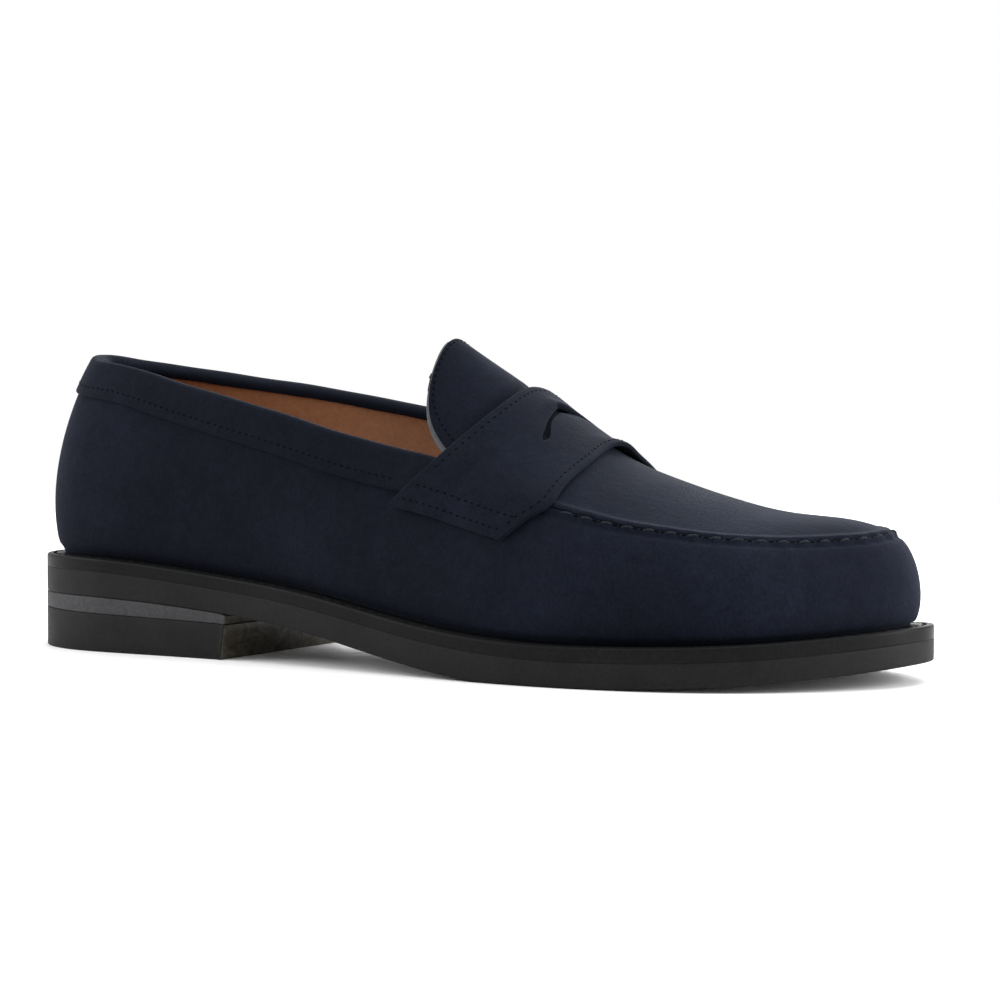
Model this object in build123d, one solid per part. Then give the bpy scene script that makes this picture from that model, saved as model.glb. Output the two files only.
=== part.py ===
from build123d import *
import os
import numpy as np

# A right-foot penny loafer of welted make, in millimetres.
# Drawing frame: x runs from the back of the heel to the toe, y is negative on the outer (lateral) side,
# z is up from the ground. Every solid is moved so that the origin is the bottom centre of the whole shoe.

# ---------------------------------------------------------------- driving dimensions
SOLE_LENGTH = 300.0          # outsole, heel to toe
FOREPART_WIDTH = 105.0       # outsole across the ball
HEEL_WIDTH = 68.5            # outsole across the heel
SEAT_HEIGHT = 30.1           # top of the welt at the back of the heel
HEEL_LENGTH = 93.5           # back of the heel to the top of the breast
BREAST_RAKE = 4.6            # the breast leans back by this much at the ground
HEEL_LIFT = 13.0             # black heel block, top to ground, at the back
HEEL_LIFT_BREAST = 11.0      # the same at the breast
WELT_THICKNESS = 4.2
WELT_WIDTH = 12.0            # from the outer edge inwards
BACK_HEIGHT = 64.2           # wall's top edge above the seat, at the back
WALL_THICKNESS = 1.6         # suede
STIFFENER_THICKNESS = 0.9    # heel counter, toe puff and side stiffeners
LINING_THICKNESS = 1.0
COLLAR_THICKNESS = 0.9
COLLAR_DROP = 11.5           # collar's outside flange, below the topline
COLLAR_TURN = 3.5            # collar's inside flange
TONGUE_THICKNESS = 1.4
TONGUE_LINING = 0.8
TONGUE_EDGE = 0.8            # pale lining that shows beyond the tongue's suede
STRAP_THICKNESS = 1.5
STRAP_REAR = SOLE_LENGTH * 0.58867   # strap's edges on the ridge
STRAP_FRONT = SOLE_LENGTH * 0.68933
APRON_REAR = STRAP_REAR + 5.0    # apron's rear edge under the strap, on the ridge
APRON_REAR_SIDE = STRAP_REAR - 5.5
COLLAR_END = STRAP_REAR - 9.0    # collar's ends under the strap
INSOLE_THICKNESS = 2.6
SOCK_THICKNESS = 1.2
SHANK = (100.0, 12.0, 1.5)   # length, width, thickness
SHANK_START = 62.0
NAIL_RADIUS = 1.2
NAIL_LENGTH = 17.0
THREAD = 0.7
THREAD_LIFT = 0.26           # threads lie this far above what they're sewn to
STITCH_PITCH = 6.0           # hand-sewn apron seam

# clearances
PLY = 0.15                   # between one ply of leather and the next
STIFFENER_AIR = 0.1          # more room on each side of a stiffener
SEAM_GAP = 0.2               # between two pieces that meet edge to edge
STRAP_AIR = 0.35             # strap above what it crosses
COLLAR_AIR = 0.25            # collar's outside flange to the wall
COLLAR_RISE = 1.0            # collar's fold above the wall's top edge
FOLD_RISE = 2.6              # how far the collar's fold lifts the strap where it crosses the topline
FOOTBED_GAP = 0.6            # insole's edge to the lining
HINGE_GAP = 0.3              # tongue's free part to its sewn root
HINGE_WEDGE = 7.0            # degrees that the root is cut back, for pressing the tongue down

# ---------------------------------------------------------------- curves
# Sole outline: part of the length, and part of the half width there, from the heel round the outer side.
SOLE = [(0.000, 0.03), (0.023, -0.61), (0.077, -0.94), (0.167, -1.04), (0.260, -1.06), (0.367, -1.01),
        (0.473, -0.94), (0.583, -0.96), (0.683, -1.015), (0.783, -0.967), (0.873, -0.789), (0.943, -0.488),
        (0.993, -0.075), (1.000, 0.188), (0.963, 0.582), (0.887, 0.845), (0.793, 0.958), (0.707, 0.986),
        (0.617, 0.90), (0.507, 0.745), (0.400, 0.716), (0.300, 0.853), (0.200, 0.957), (0.093, 0.928),
        (0.027, 0.61)]

# The wall's top edge: along the topline at the rear, along the apron seam at the front.
# Part of the sole's length, part of the half width there, height above the seat.
TOP = [(0.046, 0.01, 64.2), (0.060, -0.28, 63.2), (0.088, -0.51, 61.5), (0.137, -0.65, 59.7),
       (0.180, -0.72, 56.8), (0.233, -0.78, 52.9), (0.293, -0.81, 48.7), (0.360, -0.77, 43.8),
       (0.420, -0.73, 39.2), (0.477, -0.67, 35.3), (0.543, -0.64, 31.3), (0.610, -0.70, 25.5),
       (0.677, -0.766, 19.9), (0.716, -0.766, 17.3), (0.752, -0.745, 15.0), (0.793, -0.701, 13.3),
       (0.832, -0.627, 11.8), (0.869, -0.516, 10.8), (0.901, -0.375, 10.3), (0.931, -0.192, 10.5),
       (0.950, -0.027, 11.0), (0.957, 0.152, 11.7), (0.952, 0.324, 11.9), (0.933, 0.486, 11.9),
       (0.900, 0.629, 11.9), (0.853, 0.720, 12.5), (0.800, 0.766, 14.1), (0.740, 0.773, 17.1),
       (0.677, 0.743, 22.1), (0.610, 0.686, 29.5), (0.533, 0.635, 37.9), (0.477, 0.665, 42.1),
       (0.407, 0.725, 46.7), (0.353, 0.775, 49.5), (0.293, 0.81, 52.6), (0.227, 0.785, 55.4),
       (0.170, 0.72, 57.8), (0.128, 0.65, 59.7), (0.087, 0.52, 61.5), (0.060, 0.30, 63.2)]

# The wall's bulge, by place round the sole: feather inset, then how far each end's handle goes out and up.
BULGE = [(0.00, 4.9, 5.9, 18.0, 11.2, 19.0), (0.14, 5.2, 4.0, 15.0, 6.0, 17.0), (0.24, 5.6, 4.5, 13.0, 5.0, 14.0),
         (0.34, 5.8, 5.0, 10.0, 7.0, 9.0), (0.42, 5.9, 4.8, 7.0, 8.5, 5.0), (0.504, 6.0, 4.5, 5.0, 8.0, 3.5),
         (0.58, 5.9, 4.8, 7.0, 8.5, 5.0), (0.67, 5.6, 5.0, 10.0, 7.0, 9.0), (0.77, 4.6, 7.0, 13.0, 5.0, 14.0),
         (0.86, 5.0, 5.0, 15.0, 6.0, 17.0)]

# Side curves: part of the sole's length, height.
WELT_TOP = [(0.0, 0.0), (0.133, -0.5), (0.267, -3.7), (0.4, -8.1), (0.533, -14.5), (0.667, -18.3), (0.8, -18.2),
            (0.9, -16.7), (1.0, -13.5)]
RIDGE = [(0.500, 69.1), (0.587, 52.5), (0.667, 35.7), (0.740, 26.3), (0.817, 19.3), (0.887, 16.3), (0.933, 14.2)]
TREAD_START = 0.617          # flat stretch of the outsole under the ball, parts of the length
TREAD_END = 0.740
TOE_SPRING = 6.1

# Plan shape of the tongue's free edge: distance in front of its tip, part of its greatest half width.
TONGUE_TIP = 0.502
TONGUE_WIDTH = FOREPART_WIDTH * 0.5143
TONGUE_EDGE_SHAPE = [(0.0, 0.0), (0.05, 0.333), (0.35, 0.537), (1.2, 0.674), (3.2, 0.774), (6.5, 0.848),
                     (11.0, 0.9185), (20.0, 1.0)]
TONGUE_EDGE_SHAPE = [(ahead, share * TONGUE_WIDTH / 2) for ahead, share in TONGUE_EDGE_SHAPE]
TONGUE_ROOT = 16.0           # front edge of the tongue's sewn root, in front of the strap's rear edge
TONGUE_INSET = 5.6           # tongue's sides lie this far inside the wall's top edge
TONGUE_DIP = 1.35 * (WALL_THICKNESS + 2 * PLY)   # the tongue's drop, straight down, to pass under the apron

# Penny slot, from the ridge outwards: distance in front of its place on the ridge, distance from the ridge.
SLOT_PLACE = 9.4             # that place, in front of the strap's rear edge
SLOT_REAR = [(0.0, 0.0), (1.2, 5.6), (2.5, 10.4), (4.1, 15.3), (5.2, 18.5)]
SLOT_FRONT = [(2.0, 0.0), (2.9, 5.0), (4.0, 10.0), (6.3, 15.3), (7.1, 18.0)]
SLOT_TIP = (6.6, 19.9)

MARGIN = 15.0                # how far construction faces run past the object


def smoothstep(low, high, x):
    t = np.clip((np.asarray(x, float) - low) / (high - low), 0.0, 1.0)
    return t * t * (3.0 - 2.0 * t)


def half_width(fraction):
    return (HEEL_WIDTH + (FOREPART_WIDTH - HEEL_WIDTH) * smoothstep(0.26, 0.60, fraction)) / 2.0


def ring(knots, values):
    """Smooth closed curve through the values; its parameter runs 0 to 1 once round."""
    values = np.array(values, float)
    count = len(values)
    knots = np.append(knots, knots[0] + 1.0)
    step = np.diff(knots)
    matrix, right = np.zeros((count, count)), np.zeros_like(values)
    for i in range(count):
        after = (i + 1) % count
        matrix[i, i - 1] += step[i - 1]
        matrix[i, i] += 2.0 * (step[i - 1] + step[i])
        matrix[i, after] += step[i]
        right[i] = 6.0 * ((values[after] - values[i]) / step[i] - (values[i] - values[i - 1]) / step[i - 1])
    bend = np.linalg.solve(matrix, right)

    def at(s):
        s = (np.atleast_1d(np.asarray(s, float)) - knots[0]) % 1.0 + knots[0]
        i = np.clip(np.searchsorted(knots, s, side="right") - 1, 0, count - 1)
        j = (i + 1) % count
        b = ((s - knots[i]) / step[i])[:, None]
        a = 1.0 - b
        curved = ((a**3 - a) * bend[i] + (b**3 - b) * bend[j]) * (step[i] ** 2 / 6.0)[:, None]
        return a * values[i] + b * values[j] + curved

    return at


def line(xs, zs):
    """Smooth open curve z(x) through the points, straight on past its ends."""
    xs, zs = np.array(xs, float), np.array(zs, float)
    count, step = len(xs), np.diff(xs)
    matrix, right = np.eye(count), np.zeros(count)
    for i in range(1, count - 1):
        matrix[i, i - 1 : i + 2] = step[i - 1], 2.0 * (step[i - 1] + step[i]), step[i]
        right[i] = 6.0 * ((zs[i + 1] - zs[i]) / step[i] - (zs[i] - zs[i - 1]) / step[i - 1])
    bend = np.linalg.solve(matrix, right)
    slope_in = (zs[1] - zs[0]) / step[0] - bend[1] * step[0] / 6.0
    slope_out = (zs[-1] - zs[-2]) / step[-1] + bend[-2] * step[-1] / 6.0

    def at(x):
        x = np.asarray(x, float)
        inside = np.clip(x, xs[0], xs[-1])
        i = np.clip(np.searchsorted(xs, inside, side="right") - 1, 0, count - 2)
        b = (inside - xs[i]) / step[i]
        a = 1.0 - b
        z = a * zs[i] + b * zs[i + 1] + ((a**3 - a) * bend[i] + (b**3 - b) * bend[i + 1]) * step[i] ** 2 / 6.0
        return z + np.minimum(x - xs[0], 0.0) * slope_in + np.maximum(x - xs[-1], 0.0) * slope_out

    return at


# ---------------------------------------------------------------- the last's surfaces
corners = np.array([(f * SOLE_LENGTH, w * half_width(f)) for f, w in SOLE])
chord = np.linalg.norm(np.roll(corners, -1, 0) - corners, axis=1)
outline = ring(np.append(0.0, np.cumsum(chord)[:-1]) / chord.sum(), corners)
FINE = np.linspace(0.0, 1.0, 4001)[:-1]
FINE_OUTLINE = outline(FINE)
CENTRE = (FINE_OUTLINE.min(0) + FINE_OUTLINE.max(0)) / 2.0


def outward(s):
    """Unit normal of the outline in plan, pointing out of the sole."""
    s = np.atleast_1d(np.asarray(s, float))
    along = outline(s + 1e-4) - outline(s - 1e-4)
    normal = np.c_[along[:, 1], -along[:, 0]]
    return -normal / np.linalg.norm(normal, axis=1)[:, None] * TURN


TURN = 1.0
if outward(0.0)[0, 0] > 0.0:
    TURN = -1.0


def inset_outline(distance, s):
    return outline(s) - outward(s) * np.asarray(distance, float).reshape(-1, 1)


def place_on_outline(points):
    """Parameter of the outline nearest to each point."""
    return np.array([FINE[np.argmin(((FINE_OUTLINE - p[:2]) ** 2).sum(1))] for p in points])


welt_top = line([f * SOLE_LENGTH for f, _ in WELT_TOP], [SEAT_HEIGHT + z for _, z in WELT_TOP])
rise = BACK_HEIGHT / TOP[0][2]
top_points = np.array([(f * SOLE_LENGTH, w * half_width(f), SEAT_HEIGHT + z * rise) for f, w, z in TOP])
top_knots = place_on_outline(top_points)
top_knots[0] = 0.0
top_order = np.argsort(top_knots)
top_edge = ring(top_knots[top_order], top_points[top_order])
bulge = ring([row[0] for row in BULGE], [row[1:] for row in BULGE])


def wall(s, t):
    """Outer face of the wall: t is 0 at the feather line and 1 at the top edge."""
    s = np.atleast_1d(np.asarray(s, float))
    t = np.broadcast_to(np.asarray(t, float), s.shape)[:, None]
    shape = bulge(s)
    out, up = np.c_[outward(s), np.zeros(len(s))], np.array([0.0, 0.0, 1.0])
    foot = inset_outline(shape[:, 0], s)
    foot = np.c_[foot, welt_top(foot[:, 0]) + PLY]
    top = top_edge(s)
    low = foot + out * shape[:, 1:2] + up * shape[:, 2:3]
    high = top + out * shape[:, 3:4] - up * shape[:, 4:5] * rise
    return (1 - t) ** 3 * foot + 3 * t * (1 - t) ** 2 * low + 3 * t * t * (1 - t) * high + t**3 * top


def wall_normal(s, t):
    s = np.atleast_1d(np.asarray(s, float))
    t = np.broadcast_to(np.asarray(t, float), s.shape)
    along = wall(s + 1e-3, t) - wall(s - 1e-3, t)
    up = wall(s, np.minimum(t + 1e-3, 1.0)) - wall(s, np.minimum(t + 1e-3, 1.0) - 2e-3)
    normal = np.cross(along, up)
    normal /= np.linalg.norm(normal, axis=1)[:, None]
    side = np.sign((normal[:, :2] * outward(s)).sum(1))
    return normal * side[:, None]


def wall_sheet(s_values, t_values, depth):
    """Grid of points at a depth inside the wall's outer face."""
    return np.array([wall(np.full(len(t_values), s), t_values)
                     - wall_normal(np.full(len(t_values), s), t_values) * depth for s in s_values])


# The back of the foot to the toe over the instep: a height over the plan, between the two top edges.
toe_s = FINE[np.argmax(top_edge(FINE)[:, 0])]
outer_top = top_edge(np.linspace(0.18, toe_s, 400))
inner_top = top_edge(np.linspace(toe_s, 0.85, 400))[::-1]
TOE_END = outer_top[:, 0].max() - 0.6
ACROSS_X = np.linspace(0.47 * SOLE_LENGTH, TOE_END, 140)


def edge_at(edge, column):
    order = np.argsort(edge[:, 0])
    return np.interp(ACROSS_X, edge[order, 0], edge[order, column])


edge_outer, edge_inner = edge_at(outer_top, 1), edge_at(inner_top, 1)
edge_outer_z, edge_inner_z = edge_at(outer_top, 2), edge_at(inner_top, 2)


def along_shoe(values):
    values = np.array(values)
    slope = (values[-1] - values[-6]) / (ACROSS_X[-1] - ACROSS_X[-6])
    return lambda x: np.interp(x, ACROSS_X, values) + np.maximum(np.asarray(x) - ACROSS_X[-1], 0.0) * slope


half_gap_squared = along_shoe(((edge_inner - edge_outer) / 2.0) ** 2)
middle_y = along_shoe((edge_inner + edge_outer) / 2.0)
middle_z = along_shoe((edge_inner_z + edge_outer_z) / 2.0)
tilt = along_shoe((edge_inner_z - edge_outer_z) / (edge_inner - edge_outer))
ridge_x = np.array([f * SOLE_LENGTH for f, _ in RIDGE])
ridge_z = np.array([SEAT_HEIGHT + z * rise for _, z in RIDGE])
crown = line(ridge_x, (ridge_z - middle_z(ridge_x)) / half_gap_squared(ridge_x))


def dorsal(x, y):
    """Height of the apron's outer face, and of the tongue's behind it, over the plan."""
    x, y = np.asarray(x, float), np.asarray(y, float)
    off = y - middle_y(x)
    return middle_z(x) + tilt(x) * off + crown(np.minimum(x, ridge_x[-1])) * (half_gap_squared(x) - off**2)


def tongue_height(x, y):
    """The tongue is narrower than the gap between the walls, and dips under the apron's rear edge."""
    wide = np.sqrt(np.maximum(half_gap_squared(x), 1.0))
    off = (y - middle_y(x)) * wide / (wide - TONGUE_INSET)
    apron_edge = APRON_REAR - (APRON_REAR - APRON_REAR_SIDE) * np.minimum(np.abs(off) / wide, 1.0) ** 2
    dip = TONGUE_DIP * smoothstep(-10.0, -0.5, x - apron_edge)
    return dorsal(x, middle_y(x) + off) - dip


# ---------------------------------------------------------------- solids from grids
def unit(v):
    return v / np.linalg.norm(v, axis=-1, keepdims=True)


def grid_normals(grid):
    return unit(np.cross(np.gradient(grid, axis=0), np.gradient(grid, axis=1)))


def facing(grid, direction):
    """Normals of a grid, on the side that the direction, or a point inside it, says."""
    normals = grid_normals(grid)
    return normals if (normals * direction).sum() > 0 else -normals


def grid_area(grid):
    one, two = grid[1:, 1:] - grid[:-1, :-1], grid[1:, :-1] - grid[:-1, 1:]
    return np.linalg.norm(np.cross(one, two), axis=2).sum() / 2.0


def surface(grid):
    """Smooth face through a grid: a spline can swing between the points, so the degree whose area
    agrees best with the grid's is taken."""
    rows = [[tuple(map(float, p)) for p in row] for row in grid]
    area = grid_area(grid)
    faces = [Face.make_surface_from_array_of_points(rows, tol=1e-3, min_deg=3, max_deg=d) for d in (3, 5, 6, 8)]
    return min(faces, key=lambda face: abs(face.area - area))


def between(outer, inner):
    """Closed solid between two grids of the same layout."""
    face_out, face_in = surface(outer), surface(inner)
    rest = list(face_in.edges())
    sides = []
    for edge in face_out.edges():
        def apart(other):
            ends = [edge @ 0, edge @ 0.5, edge @ 1]
            same = sum((p - other @ q).length for p, q in zip(ends, (0, 0.5, 1)))
            turned = sum((p - other @ q).length for p, q in zip(ends, (1, 0.5, 0)))
            return min(same, turned)
        match = min(rest, key=apart)
        rest.remove(match)
        sides.append(Face.make_surface_from_curves(edge, match))
    return Solid(Shell([face_out, face_in, *sides]))


def wall_ply(s_from, s_to, t_from, t_to, depth, thickness, columns=44, rows=8):
    s_values, t_values = np.linspace(s_from, s_to, columns), np.linspace(t_from, t_to, rows)
    return between(wall_sheet(s_values, t_values, depth), wall_sheet(s_values, t_values, depth + thickness))


def height_ply(height, x_range, y_range, depth, thickness, columns=26, rows=17):
    """Ply hung under a height surface, over a rectangle of the plan."""
    xs, ys = np.linspace(*x_range, columns), np.linspace(*y_range, rows)
    grid = np.array([[(x, y, float(height(x, y))) for y in ys] for x in xs])
    up = facing(grid, (0, 0, 1))
    return between(grid - up * depth, grid - up * (depth + thickness))


def flat_ring(points):
    """Plan face with a smooth closed edge."""
    return Face(Wire([Edge.make_spline([Vector(float(x), float(y), 0) for x, y in points], periodic=True)]))


def column(face, low=-MARGIN, high=BACK_HEIGHT + SEAT_HEIGHT + MARGIN):
    return Solid.extrude(face.moved(Location((0, 0, low))), Vector(0, 0, high - low))


def sole_column(inset, low=-MARGIN, high=BACK_HEIGHT):
    return column(flat_ring(inset_outline(inset, np.linspace(0, 1, 61)[:-1])), low, high)


def side_curve(height, drop=0.0):
    """Edge in the y = 0 plane following a height along the shoe."""
    xs = np.linspace(-MARGIN, SOLE_LENGTH + MARGIN, 23)
    return [Edge.make_spline([Vector(float(x), 0, float(height(x)) - drop) for x in xs])]


def slab(upper, lower):
    """Solid between two side curves, across the whole width."""
    first, last = upper[0] @ 0, upper[-1] @ 1
    low_first, low_last = lower[0] @ 0, lower[-1] @ 1
    loop = [*upper, Edge.make_line(last, low_last), *lower, Edge.make_line(low_first, first)]
    face = Face(Wire(loop)).moved(Location((0, -FOREPART_WIDTH, 0)))
    return Solid.extrude(face, Vector(0, 2 * FOREPART_WIDTH, 0))


def solids_of(shape):
    return shape.solids() if hasattr(shape, "solids") else [s for part in shape for s in part.solids()]


def largest(shape):
    return max(solids_of(shape), key=lambda s: s.volume)


def where_top(x, side):
    """Parameter where the wall's top edge passes x, on the outer (-1) or inner (+1) side."""
    s = FINE[(FINE < toe_s)] if side < 0 else FINE[(FINE > toe_s)]
    return float(s[np.argmin(abs(top_edge(s)[:, 0] - x))])


# ---------------------------------------------------------------- bottom unit
def tread_curve():
    """Underside of the outsole: heel seat, arch, flat tread, toe spring."""
    seat = [(f * SOLE_LENGTH, SEAT_HEIGHT + z - WELT_THICKNESS - 8.1) for f, z in WELT_TOP[:2]]
    rear_points = [(-MARGIN, seat[0][1]), *seat, (0.267 * SOLE_LENGTH, SEAT_HEIGHT - 15.2),
                   (0.4 * SOLE_LENGTH, 10.4), (0.533 * SOLE_LENGTH, 3.4), (TREAD_START * SOLE_LENGTH, 0.0)]
    front_points = [(TREAD_END * SOLE_LENGTH, 0.0), (0.817 * SOLE_LENGTH, 0.9), (0.9 * SOLE_LENGTH, 2.5),
                    (SOLE_LENGTH, TOE_SPRING), (SOLE_LENGTH + MARGIN, TOE_SPRING + 2.2)]
    level, rising = Vector(1, 0, 0), Vector(1, 0, 0.15)
    rear = Edge.make_spline([Vector(x, 0, z) for x, z in rear_points], tangents=[level, level])
    front = Edge.make_spline([Vector(x, 0, z) for x, z in front_points], tangents=[level, rising])
    return [rear, Edge.make_line(rear @ 1, front @ 0), front]


welt_line = side_curve(welt_top)
outsole_line = side_curve(welt_top, WELT_THICKNESS)
insole_low = side_curve(welt_top, -PLY)
insole_high = side_curve(welt_top, -PLY - INSOLE_THICKNESS)
sock_low = side_curve(welt_top, -2 * PLY - INSOLE_THICKNESS)
sock_high = side_curve(welt_top, -2 * PLY - INSOLE_THICKNESS - SOCK_THICKNESS)
tread_line = tread_curve()
LAYERS = WALL_THICKNESS + STIFFENER_THICKNESS + LINING_THICKNESS + 2 * PLY
FOOTBED_INSET = 6.0 + LAYERS + FOOTBED_GAP

parts = {}
full = sole_column(0.0)
welt_hole = sole_column(WELT_WIDTH)
parts["welt"] = largest((full - welt_hole) & slab(welt_line, outsole_line))

breast = HEEL_LENGTH - BREAST_RAKE
heel_side = Face(Wire.make_polygon([(-MARGIN, 0, 0), (breast, 0, 0), (HEEL_LENGTH, 0, SEAT_HEIGHT),
                                    (-MARGIN, 0, SEAT_HEIGHT)], close=True))
heel_zone = Solid.extrude(heel_side.moved(Location((0, -FOREPART_WIDTH, 0))), Vector(0, 2 * FOREPART_WIDTH, 0))
sky = [Edge.make_line(Vector(-MARGIN, 0, 90), Vector(SOLE_LENGTH + MARGIN, 0, 90))]
ground = [Edge.make_line(Vector(-MARGIN, 0, -MARGIN), Vector(SOLE_LENGTH + MARGIN, 0, -MARGIN))]
lift_fall = (HEEL_LIFT - HEEL_LIFT_BREAST) / HEEL_LENGTH
lift_line = [Edge.make_line(Vector(-MARGIN, 0, HEEL_LIFT + MARGIN * lift_fall),
                            Vector(SOLE_LENGTH + MARGIN, 0, HEEL_LIFT - (SOLE_LENGTH + MARGIN) * lift_fall))]

nail_spots = [(0.07, 0.0), (0.11, -0.6), (0.11, 0.6), (0.21, -0.66), (0.21, 0.66)]
nail_top = SEAT_HEIGHT - WELT_THICKNESS - 4.5
nails = [Pos(f * SOLE_LENGTH, w * half_width(f), nail_top - NAIL_LENGTH / 2) * Cylinder(NAIL_RADIUS, NAIL_LENGTH)
         for f, w in nail_spots]

outsole = full & slab(outsole_line, tread_line)
heel_stack = largest(full & heel_zone & slab(tread_line, ground))
spacer = heel_stack & slab(sky, lift_line)
block = heel_stack & slab(lift_line, ground)
for nail in nails:
    outsole, spacer, block = outsole - nail, spacer - nail, block - nail
parts["outsole"] = largest(outsole)
parts["heel_spacer"] = largest(spacer)
parts["heel_block"] = largest(block)
parts["heel_nails"] = Compound(children=nails)

inside = sole_column(WELT_WIDTH + 2.4)
parts["insole_rib"] = largest((sole_column(WELT_WIDTH + 0.4) - inside) & slab(insole_low, outsole_line))
shank_low = side_curve(welt_top, WELT_THICKNESS - 1.0)
shank_high = side_curve(welt_top, WELT_THICKNESS - 1.0 - SHANK[2])
shank_ends = [float(outline(where_top(0.37 * SOLE_LENGTH, side))[0, 1]) for side in (-1, 1)]
shank_y = sum(shank_ends) / 2
shank_box = Pos(SHANK_START + SHANK[0] / 2, shank_y, 0) * Box(SHANK[0], SHANK[1], 200)
parts["shank"] = largest(shank_box & slab(shank_high, shank_low))
cork = sole_column(WELT_WIDTH + 2.6) & slab(insole_low, outsole_line)
parts["cork_filler"] = largest(cork - parts["shank"])
parts["insole"] = largest(sole_column(FOOTBED_INSET) & slab(insole_high, insole_low))
parts["sock_liner"] = largest(sole_column(FOOTBED_INSET + 0.3) & slab(sock_high, sock_low))

# ---------------------------------------------------------------- wall, stiffeners and linings
SEAM = SEAM_GAP / 700.0      # half of the seam gap, as a part of the way round
DEPTH_STIFF = WALL_THICKNESS + PLY + STIFFENER_AIR
STIFF = STIFFENER_THICKNESS - 2 * STIFFENER_AIR
DEPTH_LINING = WALL_THICKNESS + STIFFENER_THICKNESS + 2 * PLY
joint_outer = where_top(0.535 * SOLE_LENGTH, -1)
joint_inner = where_top(0.535 * SOLE_LENGTH, 1)
GRIP = 0.058                 # heel grip's half length, part of the way round
COUNTER = 0.13
PUFF = 0.095
TOP_IN = 0.985

parts["upper_wall"] = wall_ply(SEAM, 1 - SEAM, 0, 1, 0, WALL_THICKNESS, 60, 8)
parts["heel_counter"] = wall_ply(-COUNTER, COUNTER, 0.02, 0.80, DEPTH_STIFF, STIFF, 30)
parts["toe_puff"] = wall_ply(toe_s - PUFF, toe_s + PUFF, 0.02, 0.95, DEPTH_STIFF, STIFF, 24)
parts["side_stiffener_outer"] = wall_ply(COUNTER + 4 * SEAM, joint_outer, 0.02, 0.90, DEPTH_STIFF, STIFF, 18)
parts["side_stiffener_inner"] = wall_ply(joint_inner, 1 - COUNTER - 4 * SEAM, 0.02, 0.90, DEPTH_STIFF, STIFF, 18)
parts["heel_grip_lining"] = wall_ply(-GRIP, GRIP, 0.0, TOP_IN, DEPTH_LINING, LINING_THICKNESS, 18)
parts["quarter_lining_outer"] = wall_ply(GRIP + 2 * SEAM, joint_outer, 0.0, TOP_IN, DEPTH_LINING,
                                         LINING_THICKNESS, 36)
parts["quarter_lining_inner"] = wall_ply(joint_inner, 1 - GRIP - 2 * SEAM, 0.0, TOP_IN, DEPTH_LINING,
                                         LINING_THICKNESS, 36)
parts["vamp_lining"] = wall_ply(joint_outer + 2 * SEAM, joint_inner - 2 * SEAM, 0.0, 0.93, DEPTH_LINING,
                                LINING_THICKNESS, 40)


# ---------------------------------------------------------------- apron and its lining
def apron_plan(gap, rear_ridge, rear_side):
    """Plan face inside the apron seam, with a bowed rear edge under the strap."""
    s_outer, s_inner = where_top(rear_side, -1), where_top(rear_side, 1)
    s_values = np.linspace(s_outer, s_inner, 41)
    edge = top_edge(s_values)[:, :2] - outward(s_values) * gap
    seam = Edge.make_spline([Vector(float(x), float(y), 0) for x, y in edge])
    rear = Edge.make_three_point_arc(seam @ 1, Vector(rear_ridge, float(middle_y(rear_ridge)), 0), seam @ 0)
    return Face(Wire([seam, rear]))


wide = FOREPART_WIDTH * 0.44
apron_slab = height_ply(dorsal, (APRON_REAR_SIDE - 4, SOLE_LENGTH * 0.975), (-wide, wide), 0.0, WALL_THICKNESS)
parts["apron"] = largest(apron_slab & column(apron_plan(SEAM_GAP, APRON_REAR, APRON_REAR_SIDE)))
lining_reach = (STRAP_REAR + 12, SOLE_LENGTH * 0.96)
lining_slab = height_ply(dorsal, lining_reach, (-wide, wide), DEPTH_LINING, LINING_THICKNESS)
parts["apron_lining"] = largest(lining_slab & column(apron_plan(4.6, STRAP_REAR + 24, STRAP_REAR + 17)))


# ---------------------------------------------------------------- tongue
def tongue_plan(extra):
    """Plan face of the tongue, from its free edge to its sewn root under the strap."""
    tip = TONGUE_TIP * SOLE_LENGTH - extra
    mid = float(middle_y(tip + 10))
    wider = [(ahead, half + extra if half else 0.0) for ahead, half in TONGUE_EDGE_SHAPE]
    sides = [[Vector(tip + ahead, mid + side * half, 0) for ahead, half in wider] for side in (-1, 1)]
    front = STRAP_REAR + TONGUE_ROOT
    half = TONGUE_EDGE_SHAPE[-1][1] + extra
    rim = Edge.make_spline([*sides[0][:0:-1], *sides[1]])
    right = Vector(front, mid + half, 0)
    left = Vector(front, mid - half, 0)
    root = [Edge.make_line(rim @ 1, right), Edge.make_line(right, left), Edge.make_line(left, rim @ 0)]
    return Face(Wire([rim, *root]))


HINGE = (STRAP_REAR - 0.6, float(dorsal(STRAP_REAR - 0.6, 0.0)) - 1.0)
side_x = STRAP_REAR - 14.0
side_z = float(top_edge(where_top(side_x, -1))[0, 2])
HINGE_LEAN = float(np.degrees(np.arctan2(HINGE[1] - side_z, HINGE[0] - side_x)))


def behind_hinge(gap, turn):
    """Half space, as a large box, behind a plane through the hinge line; turn swings its lower edge forward."""
    size = 200.0
    block = Pos(-size / 2 - gap, 0, 0) * Box(size, size, size)
    return Pos(HINGE[0], 0, HINGE[1]) * Rot(0, 90 - HINGE_LEAN - turn, 0) * block


def tongue_ply(depth, thickness, extra):
    reach = (TONGUE_TIP * SOLE_LENGTH - 4, STRAP_REAR + TONGUE_ROOT + 3)
    half = TONGUE_WIDTH * 0.574
    ply = height_ply(tongue_height, reach, (-half, half), depth, thickness, 22, 19)
    whole = largest(ply & column(tongue_plan(extra)))
    return largest(whole & behind_hinge(HINGE_GAP, 0)), largest(whole - behind_hinge(0.0, HINGE_WEDGE))


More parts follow.
